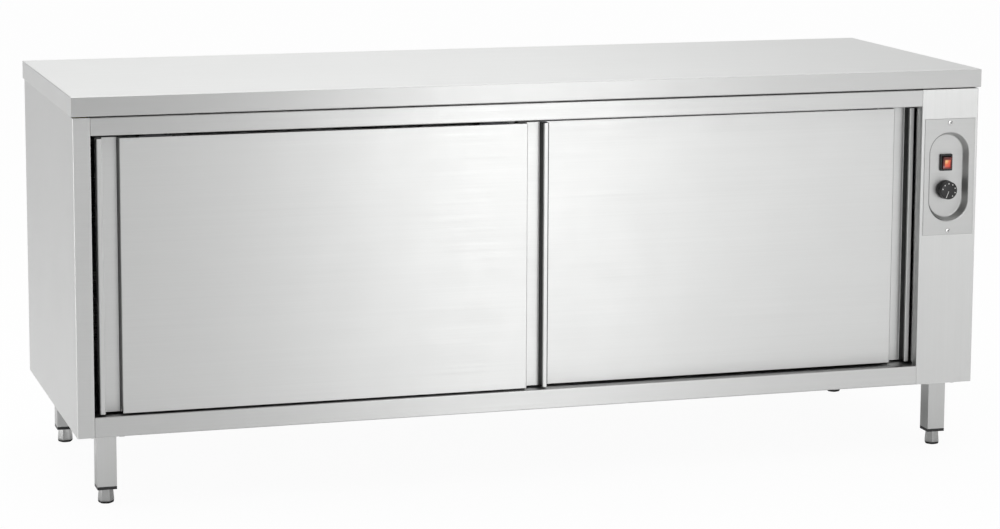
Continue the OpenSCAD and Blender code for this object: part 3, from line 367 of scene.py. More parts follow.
def lit_lens(name, tone, glow, middle):
    """Translucent red plastic with a lamp behind its window, brightest high on the left."""
    mat, t, shader = new_material(name)
    off = t.vector("SUBTRACT", t.place(), middle)
    at = t.split(off)
    window = t.times(t.ramp(at["X"], -0.0072, -0.0048), t.ramp(at["X"], 0.0080, 0.0062))
    for low, high in ((-0.0118, -0.0078), (0.0078, 0.0052)):
        window = t.times(window, t.ramp(at["Z"], low, high))
    lamp = t.vector("MULTIPLY", t.vector("SUBTRACT", off, (-0.0028, 0.0, 0.0038)), (1.0, 0.0, 0.8))
    far = t.vector("LENGTH", lamp, result="Value")
    fine = t.noise(t.stretch(), 700.0, 2.0)
    lit = t.blend(far, 0.0125, 0.0045, (0.66, 0.045, 0.025), (0.85, 0.20, 0.07))
    lit = t.blend(far, 0.0060, 0.0012, lit, (1.0, 0.62, 0.26))
    t.fill(shader, {"Base Color": t.blend(fine, 0.3, 0.7, tone, shade(tone, 0.7), 0.2),
                    "Emission Color": lit, "Emission Strength": t.times(window, glow),
                    "Normal": t.bump(0.05, 0.0001, fine), "Roughness": 0.22, "Coat Weight": 0.3})
    return mat


def paint_mark(name, tone):
    """Printed paint, a little worn."""
    mat, t, shader = new_material(name)
    worn = t.noise(t.stretch(), 1500.0, 3.0)
    t.fill(shader, {"Base Color": t.blend(worn, 0.4, 0.7, tone, shade(tone, 0.85)),
                    "Roughness": t.ramp(worn, 0.3, 0.7, 0.35, 0.5)})
    return mat


def wool(name, tone):
    """Compressed mineral wool: short crossed fibres."""
    mat, t, shader = new_material(name)
    one, two = (t.noise(t.stretch(scale), 1.0, 3.0, 0.6, 1.2)
                for scale in ((40.0, 600.0, 600.0), (600.0, 600.0, 40.0)))
    both = t.math("MAXIMUM", one, two)
    t.fill(shader, {"Base Color": t.blend(both, 0.4, 0.75, shade(tone, 0.6), shade(tone, 1.15)),
                    "Normal": t.bump(0.6, 0.002, both), "Roughness": 0.95, "Sheen Weight": 0.25})
    return mat


def chipboard(name, tone):
    """Pressed board of small wood chips."""
    mat, t, shader = new_material(name)
    grey = t.cells(Vector=t.stretch((90.0, 90.0, 420.0)), Scale=1.0)
    fine = t.noise(t.stretch(), 400.0, 4.0)
    colour = t.blend(grey, 0.0, 1.0, shade(tone, 0.65), shade(tone, 1.25))
    t.fill(shader, {"Base Color": t.blend(fine, 0.4, 0.7, colour, shade(tone, 0.5), 0.4),
                    "Normal": t.bump(0.35, 0.0006, fine), "Roughness": 0.82})
    return mat


def heated_steel(name, tone):
    """Element tube with the straw and blue tints of heat."""
    mat, t, shader = new_material(name)
    band = t.noise(t.stretch(), 18.0, 3.0, 0.5, 0.6)
    colour = t.blend(band, 0.35, 0.55, shade(tone, 0.8), (0.22, 0.16, 0.10))
    colour = t.blend(band, 0.58, 0.75, colour, (0.10, 0.11, 0.16))
    t.fill(shader, {"Base Color": colour, "Roughness": t.ramp(band, 0.3, 0.7, 0.38, 0.6),
                    "Metallic": 0.85})
    return mat


def finish_makers():
    """What makes each finish from the panel's colours, as functions of the material's name."""
    steel = bpy.context.scene.cabinet_steel
    controls = bpy.context.scene.cabinet_controls
    tone, rough, grain, wave = tuple(steel.tone), steel.roughness, steel.grain, steel.wave
    black, red = tuple(controls.plastic), tuple(controls.lens)
    lamp_low, lamp_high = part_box("switch_rocker")
    middle = (lamp_low + lamp_high) / 2
    # A painted dark reflection along the roll of the recess's rim
    rim = rim_shade(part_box("control_plate")[0].y, controls.rim)

    def sheet(share=1.0, duller=1.0, lines=1.0, waves=1.0, **more):
        """The outer steel, with each setting as a share of the panel's."""
        return lambda n: brushed(n, shade(tone, share), rough * duller, grain * lines, wave * waves,
                                 **more)

    return {
        "case_steel": sheet(0.87, 0.92),
        "side_steel": sheet(0.97),
        "upright_steel": sheet(waves=0.4, along="Z"),
        # Painted shade: the worktop's front edge is darker in colour than its top
        "worktop_steel": sheet(1.02, 0.95, mask=front_face_shade, masked=0.81, flat_top=True),
        # Painted shade on the ledge of the sill, which is darkened in colour
        "sill_steel": sheet(0.89, 0.92, mask=ledge_shade, masked=0.62),
        # Painted shade on the doors: near-black channel walls, and a dark line along the left door's last
        # bend
        "front_door_steel": sheet(mask=door_channel_shade(*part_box("left_door_front"), 1.0)),
        "rear_door_steel": sheet(mask=door_channel_shade(*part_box("right_door_front"))),
        # Painted shade on the legs' faces that look to the left
        "leg_steel": sheet(0.82, waves=0.0, along="Z", mask=left_face_shade, masked=0.85, strength=0.5),
        "plate_steel": sheet(0.79, lines=0.7, waves=0.0, mask=rim, masked=0.25, strength=0.5),
        "foot_steel": lambda n: brushed(n, shade(tone, 0.66), 0.30, 0.05, 0.0, strength=0.2),
        "inner_steel": lambda n: brushed(n, tuple(steel.inner_tone), 0.28, grain * 0.5, wave),
        "fitting_steel": lambda n: brushed(n, shade(tone, 0.95), 0.24, 0.05, 0.0, strength=0.2),
        "zinc": lambda n: zinc(n, tuple(steel.zinc_tone)),
        "dark_zinc": lambda n: zinc(n, (0.06, 0.06, 0.065)),
        "black_plastic": lambda n: plastic(n, black, 0.42),
        "gloss_plastic": lambda n: plastic(n, shade(black, 0.7), 0.34, 1400.0, 0.05),
        "black_rubber": lambda n: plastic(n, (0.014, 0.014, 0.014), 0.7, 500.0, 0.3),
        "nylon": lambda n: plastic(n, (0.74, 0.72, 0.66), 0.45, 700.0, 0.08),
        "red_lens": lambda n: lit_lens(n, red, controls.glow, (middle.x, lamp_low.y, middle.z)),
        "dark_red": lambda n: plastic(n, (0.030, 0.008, 0.008), 0.35, 1200.0, 0.05),
        "white_mark": lambda n: paint_mark(n, (0.82, 0.82, 0.80)),
        "mineral_wool": lambda n: wool(n, (0.50, 0.42, 0.22)),
        "chipboard": lambda n: chipboard(n, (0.38, 0.24, 0.13)),
        "heated_steel": lambda n: heated_steel(n, (0.30, 0.28, 0.26)),
    }


MATERIALS = {}


def finish(name):
    """The named finish, made when it is first asked for."""
    if name not in MATERIALS:
        MATERIALS[name] = finish_makers()[name](name)
    return MATERIALS[name]


def dress(node, name):
    """Gives a carried-over piece its finish."""
    obj = NODES[node]
    obj.data.materials.clear()
    obj.data.materials.append(finish(name))


# ---------------------------------------------------------------- mesh tools


def mesh_of(bm, name):
    """Turns a bmesh into a mesh and frees it."""
    mesh = bpy.data.meshes.new(name)
    bm.to_mesh(mesh)
    bm.free()
    return mesh


def object_of(name, data):
    """An object of the data, linked to the scene."""
    obj = bpy.data.objects.new(name, data)
    bpy.context.scene.collection.objects.link(obj)
    return obj


def piece(name, body, source, material, replaced=(), smooth=None):
    """Makes a bmesh or a mesh a piece that rides on a body."""
    mesh = mesh_of(source, name) if isinstance(source, bmesh.types.BMesh) else source
    obj = object_of(name, mesh)
    if material and not mesh.materials:
        mesh.materials.append(finish(material))
    if smooth is not None:
        mesh.shade_smooth()
        mesh.set_sharp_from_angle(angle=math.radians(smooth))
    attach(obj, body)
    if replaced:
        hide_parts(*replaced)
    return obj


def ring(bm, points):
    return [bm.verts.new(p) for p in points]


def bridge(bm, a, b):
    for i in range(len(a)):
        j = (i + 1) % len(a)
        bm.faces.new((a[i], a[j], b[j], b[i]))


def skin(bm, loops, flip=False):
    """Joins each loop to the next."""
    for a, b in zip(loops, loops[1:]):
        bridge(bm, *((b, a) if flip else (a, b)))


def close(bm, loop, flip=False):
    bm.faces.new(list(reversed(loop)) if flip else loop)


def outward(bm):
    bmesh.ops.recalc_face_normals(bm, faces=bm.faces)


def thicken(bm, thickness):
    """Gives an open sheet its wall."""
    outward(bm)
    bmesh.ops.solidify(bm, geom=bm.faces[:], thickness=thickness)
    outward(bm)


def absorb(bm, part):
    """Adds the faces of another bmesh, which is freed."""
    mesh = mesh_of(part, "part")
    bm.from_mesh(mesh)
    bpy.data.meshes.remove(mesh)


def quarter(steps):
    """Sine and cosine at even steps of a quarter turn."""
    angles = (math.pi / 2 * k / steps for k in range(steps + 1))
    return [(math.sin(a), math.cos(a)) for a in angles]


def turned(profile, centre, axis, steps=64, open_bore=False):
    """Solid of revolution. profile is (distance along axis, radius) pairs from end to end, and with
    open_bore its two ends are joined by a bore."""
    bm = bmesh.new()
    z = Vector(axis).normalized()
    x = z.orthogonal().normalized()
    y = z.cross(x)
    loops = []
    for along, radius in profile:
        if radius < 1e-7:
            loops.append([bm.verts.new(Vector(centre) + z * along)])
            continue
        loops.append(ring(bm, [Vector(centre) + z * along + (x * math.cos(a) + y * math.sin(a)) * radius
                               for a in (2 * math.pi * k / steps for k in range(steps))]))
    if open_bore:
        loops.append(loops[0])
    for low, high in zip(loops, loops[1:]):
        if len(low) == 1 or len(high) == 1:
            tip, rim = (low[0], high) if len(low) == 1 else (high[0], low)
            for i in range(steps):
                bm.faces.new((tip, rim[i], rim[(i + 1) % steps]))
        else:
            bridge(bm, low, high)
    for end in (loops[0], loops[-1]):
        if len(end) > 1 and not open_bore:
            bm.faces.new(end)
    outward(bm)
    return bm


def oblong(width, height, x, y, z, steps):
    """Points of an upright oblong with round ends, in the plane at y."""
    r, reach = width / 2, (height - width) / 2
    points = []
    for side, start in ((1, 0.0), (-1, math.pi)):
        for k in range(steps + 1):
            a = start + math.pi * k / steps
            points.append((x + r * math.cos(a), y, z + side * reach + r * math.sin(a)))
    return points


def bevel_box(low, high, radius, segments):
    bm = bmesh.new()
    bmesh.ops.create_cube(bm, size=1.0)
    low, high = Vector(low), Vector(high)
    for v in bm.verts:
        v.co = Vector([low[i] if v.co[i] < 0 else high[i] for i in range(3)])
    bmesh.ops.bevel(bm, geom=bm.edges[:], offset=radius, segments=segments, profile=0.5, affect="EDGES")
    return bm


def apply_nodes(obj, tree, values):
    """Runs a geometry tree on obj and returns the result as a plain mesh; obj is then removed."""
    mod = obj.modifiers.new("build", "NODES")
    mod.node_group = tree
    names = {s.name: s.identifier for s in tree.interface.items_tree if s.in_out == "INPUT"}
    for name, value in values.items():
        mod[names[name]] = value
    bpy.context.view_layer.update()
    depsgraph = bpy.context.evaluated_depsgraph_get()
    mesh = bpy.data.meshes.new_from_object(obj.evaluated_get(depsgraph), depsgraph=depsgraph)
    data = obj.data
    bpy.data.objects.remove(obj)
    bpy.data.meshes.remove(data)
    return mesh


def geometry_tree(name, inputs):
    """A geometry tree with named inputs and one geometry in and out."""
    tree = bpy.data.node_groups.new(name, "GeometryNodeTree")
    tree.interface.new_socket("Geometry", in_out="INPUT", socket_type="NodeSocketGeometry")
    tree.interface.new_socket("Geometry", in_out="OUTPUT", socket_type="NodeSocketGeometry")
    for label, kind, default in inputs:
        socket = tree.interface.new_socket(label, in_out="INPUT", socket_type=kind)
        if default is not None:
            socket.default_value = default
    t = Tree(tree)
    return tree, t, t.add("NodeGroupInput").outputs, t.add("NodeGroupOutput")


def scatter_tree(name):
    """Copies of one shape on points, each turned by a step more than the last, and finished."""
    tree, t, given, out = geometry_tree(name, [
        ("Shape", "NodeSocketObject", None), ("Finish", "NodeSocketMaterial", None),
        ("Turn", "NodeSocketVector", (0.0, 0.0, 0.0)), ("Turn step", "NodeSocketVector", (0.0, 0.0, 0.0)),
        ("Size", "NodeSocketFloat", 1.0)])
    shape = t.add("GeometryNodeObjectInfo", {"Object": given["Shape"]}).outputs["Geometry"]
    index = t.add("GeometryNodeInputIndex").outputs[0]
    step = t.add("ShaderNodeVectorMath", {0: given["Turn step"], "Scale": index}, operation="SCALE")
    turn = t.vector("ADD", given["Turn"], step.outputs[0])
    points = t.add("GeometryNodeMeshToPoints", {0: given["Geometry"]}).outputs[0]
    copies = t.add("GeometryNodeInstanceOnPoints", {
        "Points": points, "Instance": shape, "Rotation": turn, "Scale": given["Size"]}).outputs[0]
    solid = t.add("GeometryNodeRealizeInstances", {0: copies}).outputs[0]
    done = t.add("GeometryNodeSetMaterial", {"Geometry": solid, "Material": given["Finish"]})
    t.put(out.inputs[0], done.outputs[0])
    return tree


def scattered(name, points, shape_bm, material, turn=(0, 0, 0), turn_step=(0, 0, 0)):
    """A plain mesh of copies of a shape on points, made by the scatter tree."""
    tree = bpy.data.node_groups.get("scatter") or scatter_tree("scatter")
    mesh = mesh_of(shape_bm, name + "_shape")
    shape = object_of(name + "_shape", mesh)
    carrier = bpy.data.meshes.new(name + "_points")
    carrier.from_pydata([tuple(p) for p in points], [], [])
    result = apply_nodes(object_of(name + "_points", carrier), tree, {
        "Shape": shape, "Finish": finish(material), "Turn": turn, "Turn step": turn_step})
    bpy.data.objects.remove(shape)
    bpy.data.meshes.remove(mesh)
    result.name = name
    return result


# ---------------------------------------------------------------- finishes on the carried-over pieces


class CABINET_OT_case_finish(Operator):
    """Gives the case, worktop, doors, legs and inner sheets their finishes"""

    bl_idname = "cabinet.case_finish"
    bl_label = "Finish the Case"

    def execute(self, context):
        groups = {
            "worktop_steel": ["worktop"],
            "case_steel": ["rear_outer_panel", "service_cover", "base_pan", "top_rail"],
            "side_steel": ["left_outer_side", "right_outer_side", "left_stile"],
            "sill_steel": ["bottom_rail"],
            "upright_steel": ["control_column"],
            "front_door_steel": ["left_door_front"],
            "rear_door_steel": ["right_door_front"],
            "leg_steel": ["legs"],
            "inner_steel": ["left_liner", "partition", "rear_liner", "cavity_floor", "cavity_ceiling",
                            "left_door_back", "right_door_back", "shelf", "shelf_uprights", "shelf_clips"],
            "plate_steel": ["control_plate"],
            "fitting_steel": ["leg_bolts", "panel_screws", "fan_impeller"],
            "foot_steel": ["foot_front_left", "foot_front_right", "foot_rear_left", "foot_rear_right"],
            "dark_zinc": ["left_door_hangers", "right_door_hangers"],
            "zinc": ["worktop_stiffeners", "upper_track", "thermostat", "thermostat_spindle",
                     "fan_bracket", "fan_motor"],
            "black_plastic": ["door_guide", "track_stops", "leg_inserts", "cable_gland", "switch_housing"],
            "gloss_plastic": ["knob"],
            "black_rubber": ["pad_front_left", "pad_front_right", "pad_rear_left", "pad_rear_right"],
            "nylon": ["terminal_block", "left_door_roller_left", "left_door_roller_right",
                      "right_door_roller_left", "right_door_roller_right"],
            "red_lens": ["switch_rocker"],
            "mineral_wool": ["insulation", "left_door_core", "right_door_core"],
            "chipboard": ["worktop_board"],
            "heated_steel": ["heating_element"],
        }
        for material, nodes in groups.items():
            for node in nodes:
                dress(node, material)
        return {"FINISHED"}


# ---------------------------------------------------------------- control plate, switch and knob


class CABINET_OT_control_plate(Operator):
    """Pressed control plate with a rounded rim and floor to its recess"""

    bl_idname = "cabinet.control_plate"
    bl_label = "Control Plate"

    def execute(self, context):
        s = context.scene.cabinet_controls
        low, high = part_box("control_plate")
        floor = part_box("switch_housing")[0].y + s.bezel
        x, z, front = (low.x + high.x) / 2, (low.z + high.z) / 2, low.y
        half_w, half_h = (high.x - low.x) / 2, (high.z - low.z) / 2
        deep, steps, bends = floor - front, 24, 8
        sheet, wall, edge = 0.002, 0.0012, 0.0008
        # A narrow flat ring beside each bend keeps the flats' shading flat
        hem = 0.0006
        bm = bmesh.new()

        def recess(grow, y):
            """The recess's outline in the plane at y, wider and taller by grow."""
            return ring(bm, oblong(s.recess_w + grow, s.recess_h + grow, x, y, z, steps))

        rows = [(2 * s.rim * (1 - sine), front + s.rim * (1 - cosine)) for sine, cosine in quarter(bends)]
        for sine, cosine in quarter(bends):
            sink = s.foot * sine
            inset = s.draft * (deep - s.foot + sink) / deep + s.foot * (1 - cosine)
            rows.append((-2 * inset, floor - s.foot + sink))
        rows = [(rows[0][0] + 2 * hem, front)] + rows + [(rows[-1][0] - 2 * hem, floor)]
        loops = [recess(grow, y) for grow, y in rows]
        skin(bm, loops)
        close(bm, loops[-1])
        # Flat of the plate: a rectangle whose points stand on the rays of the rim's points
        outline = []
        for px, _, pz in oblong(s.recess_w, s.recess_h, 0, 0, 0, steps):
            stretch = min(half_w / max(abs(px), 1e-9), half_h / max(abs(pz), 1e-9))
            outline.append([px * stretch, pz * stretch])
        for cx, cz in ((half_w, half_h), (-half_w, half_h), (-half_w, -half_h), (half_w, -half_h)):
            near = min(outline, key=lambda p: math.hypot(p[0] - cx, p[1] - cz))
            near[:] = cx, cz
        edges = []
        for inset, y in ((edge + hem, front), (edge, front), (0.0003, front + 0.0003),
                         (0.0, front + edge), (0.0, front + sheet)):
            edges.append(ring(bm, [(x + px * (1 - inset / half_w), y, z + pz * (1 - inset / half_h))
                                   for px, pz in outline]))
        bridge(bm, edges[0], loops[0])
        skin(bm, edges, True)
        # The rear of the pressing, from the plate's edge to behind the recess's floor
        behind = [edges[-1]]
        for grow, y in rows[5:-1]:
            behind.append(recess(max(grow, -2 * s.draft) + 2 * wall,
                                 min(max(y + wall, front + sheet), floor + wall)))
        skin(bm, behind, True)
        close(bm, behind[-1], True)
        outward(bm)
        piece("control_plate_pressed", "cabinet", bm, "plate_steel",
              ("control_plate",), smooth=35)
        return {"FINISHED"}


class CABINET_OT_switch(Operator):
    """Rocker switch: bezel with rounded edges, dished rocker and its lamp"""

    bl_idname = "cabinet.switch"
    bl_label = "Rocker Switch"

    def execute(self, context):
        pivot = Vector(JOINTS["switch_tilt"]["pos_m"])
        self.bezel(pivot, context.scene.cabinet_controls.bezel)
        # A dark body and a dished lens on its front, tilted as the carried-over piece is
        tilt = Matrix.Translation(pivot) @ Matrix.Rotation(math.radians(8), 4, "X")
        half_x, half_z, proud, back, cap, dip = 0.0105, 0.0136, 0.008, 0.003, 0.0016, 0.002
        gap = 0.0002
        body = self.dished(tilt, -proud + cap, back, half_x, half_z, 0.0004, dip)
        piece("switch_rocker_body", "switch_rocker", body, "dark_red",
              ("switch_rocker",), smooth=40)
        lens = self.dished(tilt, -proud, -proud + cap + dip + 0.0003, half_x - gap, half_z - gap,
                           0.0007, dip)
        piece("switch_rocker_lens", "switch_rocker", lens, "red_lens",
              ("switch_rocker",), smooth=40)
        return {"FINISHED"}

    def bezel(self, pivot, rise):
        """The bezel and the housing behind it, round the rocker's hole."""
        low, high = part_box("switch_housing")
        half_w, half_h = (high.x - low.x) / 2, (high.z - low.z) / 2
        hole_w, hole_h, wall, edge, lip = 0.0108, 0.0143, 0.0012, 0.0012, 0.0005
        corner, hole_corner = 0.002, 0.0008
        front, base = low.y, low.y + rise
        bm = bmesh.new()

        def upright(w, h, y, r):
            """An upright rectangle of half sizes w and h, with round corners."""
            points = []
            for cx, cz, start in ((1, 1, 0), (-1, 1, 90), (-1, -1, 180), (1, -1, 270)):
                for k in range(7):
                    a = math.radians(start + 15 * k)
                    points.append((pivot.x + cx * (w - r) + r * math.cos(a), y,
                                   pivot.z + cz * (h - r) + r * math.sin(a)))
            return ring(bm, points)

        shell = [upright(half_w, half_h, base, corner)]
        for sine, cosine in quarter(4):
            inset = edge * (1 - cosine)
            shell.append(upright(half_w - inset, half_h - inset, front + edge * (1 - sine), corner))
        for grow, y in ((lip, front), (0.0, front + lip), (0.0, high.y - wall)):
            shell.append(upright(hole_w + grow, hole_h + grow, y, hole_corner))
        skin(bm, shell)
        close(bm, shell[-1], True)
        body = [shell[0]] + [upright(hole_w + wall, hole_h + wall, y, wall) for y in (base, high.y)]
        skin(bm, body, True)
        close(bm, body[-1])
        outward(bm)
        piece("switch_bezel", "cabinet", bm, "gloss_plastic", ("switch_housing",),
              smooth=40)

    def dished(self, tilt, front, rear, half_x, half_z, soft, dip):
        """A bar along X whose front is dished by dip, with soft front edges."""
        cut = soft * 0.3
        curve = [-1 + 2 * k / 12 for k in range(13)]
        profile = [(rear, -half_z), (front + soft, -half_z), (front + cut, -half_z + cut)]
        profile += [(front + dip * (1 - u * u), u * (half_z - soft)) for u in curve]
        profile += [(front + cut, half_z - cut), (front + soft, half_z), (rear, half_z)]
        ends = [(-half_x, soft), (-half_x + cut, cut), (-half_x + soft, 0.0)]
        ends += [(-x, inset) for x, inset in reversed(ends)]
        bar = bmesh.new()
        loops = [ring(bar, [tilt @ Vector((x, min(y + inset, rear), z * (1 - inset / half_z)))
                            for y, z in profile]) for x, inset in ends]
        skin(bar, loops)
        close(bar, loops[0])
        close(bar, loops[-1])
        outward(bar)
        return bar


class CABINET_OT_knob(Operator):
    """Thermostat knob with a fluted skirt, dial marks and a white line"""

    bl_idname = "cabinet.knob"
    bl_label = "Thermostat Knob"

    def execute(self, context):
        s = context.scene.cabinet_controls
        low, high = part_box("knob")
        centre = Vector(JOINTS["thermostat_turn"]["pos_m"])
        x, z, front = centre.x, centre.z, low.y
        depth, foot_r = high.y - low.y, (high.x - low.x) / 2
        r = foot_r - 0.001
        flutes, flute_depth, mark_circle = 48, 0.0004, 0.0152
        profile = [(0.0, 0.0), (0.0, r - 0.0022), (0.0003, r - 0.0011), (0.0011, r - 0.0003),
                   (0.0022, r), (depth - 0.0075, r + 0.0003), (depth - 0.0068, r + 0.0006),
                   (depth - 0.0012, foot_r), (depth - 0.0004, r + 0.0007), (depth, r - 0.0002),
                   (depth, 0.0)]
        bm = turned(profile, (x, front, z), (0, 1, 0), 192)
        # Fine flutes round the skirt between the face and the foot
        for v in bm.verts:
            if 0.0021 < v.co.y - front < depth - 0.0074:
                a = math.atan2(v.co.z - z, v.co.x - x)
                cut = flute_depth * (0.5 + 0.5 * math.cos(flutes * a))
                reach = math.hypot(v.co.z - z, v.co.x - x) - cut
                v.co.x, v.co.z = x + reach * math.cos(a), z + reach * math.sin(a)
        piece("knob_body", "knob", bm, "gloss_plastic", ("knob",), smooth=35)
        dot = turned([(-0.0001, 0.0), (-0.0001, 0.00125), (0.0001, 0.0013), (0.0001, 0.0)],
                     (0, 0, 0), (0, 1, 0), 20)
        points = []
        for k in range(s.ticks):
            a = s.dial_start + (s.dial_end - s.dial_start) * k / (s.ticks - 1)
            points.append((x + mark_circle * math.sin(a), front, z + mark_circle * math.cos(a)))
        piece("knob_marks", "knob", scattered("knob_marks", points, dot, "white_mark"), None)
        line = bevel_box((-0.0006, -0.0001, 0.0020), (0.0006, 0.0001, 0.0170), 0.00004, 2)
        turn = Matrix.Translation((x, front, z)) @ Matrix.Rotation(s.pointer, 4, "Y")
        bmesh.ops.transform(line, matrix=turn, verts=line.verts)
        piece("knob_line", "knob", line, "white_mark")
        return {"FINISHED"}


# ---------------------------------------------------------------- screws, louvres, feet, rollers and fan


def pan_head(radius, rise):
    """A pan-head screw whose head looks along -Y, and a dark cross on it: painted shade standing in for its
    cross recess.
    """
    bm = turned([(rise * 1.2, 0.0), (rise * 1.2, radius * 0.5), (0.0, radius * 0.5), (0.0, radius),
                 (-rise * 0.45, radius * 0.985), (-rise * 0.8, radius * 0.83), (-rise * 0.97, radius * 0.5),
                 (-rise, 0.0)], (0, 0, 0), (0, 1, 0), 32)
    arm, wide, deep = radius * 0.52, radius * 0.13, rise * 0.75
    cross = bmesh.new()
    for turn in (0, math.pi / 2):
        part = bevel_box((-arm, -rise * 1.02, -wide), (arm, -rise * 1.02 + deep * 0.2, wide), wide * 0.3, 1)
        bmesh.ops.transform(part, matrix=Matrix.Rotation(turn, 4, "Y"), verts=part.verts)
        absorb(cross, part)
    return bm, cross


class CABINET_OT_screws(Operator):
    """Pan-head screws of the control plate and of the service cover"""

    bl_idname = "cabinet.screws"
    bl_label = "Pan-head Screws"

    def execute(self, context):
        fittings = context.scene.cabinet_fittings
        plate_low, plate_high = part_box("control_plate")
        cover_low, cover_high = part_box("service_cover")
        plate_inset, cover_inset = 0.009, 0.007
        x = (plate_low.x + plate_high.x) / 2
        front = [(x, plate_low.y, z) for z in (plate_high.z - plate_inset, plate_low.z + plate_inset)]
        rows = (cover_low.z + cover_inset, (cover_low.z + cover_high.z) / 2, cover_high.z - cover_inset)
        rear = [(px, cover_high.y, pz)
                for px in (cover_low.x + cover_inset, cover_high.x - cover_inset) for pz in rows]
        step = (0.0, 0.9, 0.0)
        for name, points, turn, replaced in (("plate_screws", front, (0, 0.5, 0), ("panel_screws",)),
                                             ("cover_screws", rear, (0, 0, math.pi), ())):
            head, cross = pan_head(fittings.screw_head, fittings.screw_rise)
            mesh = scattered(name, points, head, "fitting_steel", turn, step)
            piece(name, "cabinet", mesh, None, replaced, smooth=30)
            # The cross recesses are black slabs on the heads: painted shade, not hollows
            mesh = scattered(name + "_recess", points, cross, "black_plastic", turn, step)
            piece(name + "_recess", "cabinet", mesh, None)
        return {"FINISHED"}


class CABINET_OT_louvres(Operator):
    """Pressed louvre hoods over the slots of the service cover"""

    bl_idname = "cabinet.louvres"
    bl_label = "Service Cover Louvres"

    def execute(self, context):
        rise = context.scene.cabinet_fittings.louvre_rise
        low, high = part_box("service_cover")
        half = (high.x - low.x) / 2 - 0.017
        tall, drop, columns, bends = 0.013, 0.0035, 25, 8
        first, pitch, lift = 0.03, 0.04, 0.003
        bm = bmesh.new()
        rings = []
        for i in range(columns):
            u = -1 + 2 * i / (columns - 1)
            swell = (1 - abs(u) ** 6) ** 0.5 if abs(u) < 1 else 0.0
            rings.append(ring(bm, [(u * half, rise * sine * swell + 0.00005, tall * (1 - k / bends) - drop)
                                   for k, (sine, _) in enumerate(quarter(bends))]))
        for a, b in zip(rings, rings[1:]):
            for k in range(bends):
                bm.faces.new((a[k], b[k], b[k + 1], a[k + 1]))
        thicken(bm, 0.0005)
        count = int((high.z - low.z - 2 * first) / pitch) + 1
        points = [((low.x + high.x) / 2, high.y, low.z + first + pitch * k + lift) for k in range(count)]
        mesh = scattered("cover_louvres", points, bm, "case_steel")
        piece("cover_louvres", "cabinet", mesh, None, smooth=40)
        return {"FINISHED"}


def hexagon(x, y, z, turn, flats, soft):
    """Points of a level hexagon, flats wide, whose corners are cut back by soft."""
    corner = flats / math.sqrt(3)
    corners = [Vector((math.cos(a), math.sin(a), 0)) * corner
               for a in (turn + math.pi / 3 * k for k in range(6))]
    points = []
    for k, here in enumerate(corners):
        before, after = corners[k - 1], corners[(k + 1) % 6]
        for share, other in ((0.9, before), (0.3, before), (0.3, after), (0.9, after)):
            q = here + (other - here).normalized() * soft * share
            if share < 0.5:
                q *= 1 - soft * 0.10 / corner
            points.append((x + q.x, y + q.y, z))
    return points


def hexagonal(x, y, turn, rows):
    """A closed hexagonal piece from rows of (height, width over flats, corner cut)."""
    bm = bmesh.new()
    loops = [ring(bm, hexagon(x, y, z, turn, flats, soft)) for z, flats, soft in rows]
    skin(bm, loops)
    close(bm, loops[0], True)
    close(bm, loops[-1])
    return bm


class CABINET_OT_feet(Operator):
    """Hexagonal levelling feet with turned edges, threads and black pads"""

    bl_idname = "cabinet.feet"
    bl_label = "Levelling Feet"

    def execute(self, context):
        # Each foot has been screwed to a stop of its own
        for place, angle in (("front_left", 46), ("front_right", 11), ("rear_left", 4), ("rear_right", 17)):
            low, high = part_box("foot_" + place)
            pad_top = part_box("pad_" + place)[1].z
            x, y, turn = (low.x + high.x) / 2, (low.y + high.y) / 2, math.radians(angle)
            top = 0.0307
            bm = hexagonal(x, y, turn, [
                (pad_top, 0.0292, 0.003), (pad_top + 0.0006, 0.0298, 0.0022),
                (pad_top + 0.004, 0.0296, 0.0016), (top - 0.004, 0.0268, 0.0016),
                (top - 0.0008, 0.0264, 0.0022), (top, 0.0250, 0.004)])
            absorb(bm, self.thread(x, y, top, high.z))
            outward(bm)
            body = "foot_" + place
            piece("hex_" + body, body, bm, "foot_steel", (body,), smooth=32)
            bm = hexagonal(x, y, turn, [
                (0.0, 0.0250, 0.005), (0.0006, 0.0275, 0.004), (0.0016, 0.0288, 0.003),
                (pad_top - 0.0004, 0.0298, 0.0024), (pad_top, 0.0294, 0.0028)])
            outward(bm)
            piece("rubber_pad_" + place, body, bm, "black_rubber",
                  ("pad_" + place,), smooth=40)
        return {"FINISHED"}

    def thread(self, x, y, low, high):
        """The foot's screw: a closed lathe of thread crests up to its end."""
        root, crest, pitch = 0.0043, 0.00495, 0.0014
        stem = []
        z = low - 0.001
        while z < high - 0.0015:
            stem += [(z, root), (z + pitch / 2, crest)]
            z += pitch
        profile = [(low - 0.0012, root)] + stem[1:] + [(high - 0.0006, root), (high, 0.0036), (high, 0.0)]
        return turned(profile, (x, y, 0), (0, 0, 1), 24)


class CABINET_OT_rollers(Operator):
    """Grooved nylon rollers on the doors' hangers, each with a bore for its axle"""

    bl_idname = "cabinet.rollers"
    bl_label = "Door Rollers"

    def execute(self, context):
        for body in (f"{door}_door_roller_{end}" for door in ("left", "right") for end in ("left", "right")):
            low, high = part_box(body)
            x, z, w, r = (low.x + high.x) / 2, (low.z + high.z) / 2, high.y - low.y, (high.z - low.z) / 2
            # One half of the wheel from its bore to its tread, then the same mirrored
            half = [(0, 0.0026), (0, 0.0052), (0.0007, 0.0058), (0.0007, r - 0.0026), (0, r - 0.0018),
                    (0, r - 0.0006), (0.0004, r - 0.0001), (0.0008, r)]
            profile = half + [(w - along, radius) for along, radius in reversed(half)]
            bm = turned(profile, (x, low.y, z), (0, 1, 0), 48, open_bore=True)
            piece("wheel_" + body, body, bm, "nylon", (body,), smooth=30)
        return {"FINISHED"}


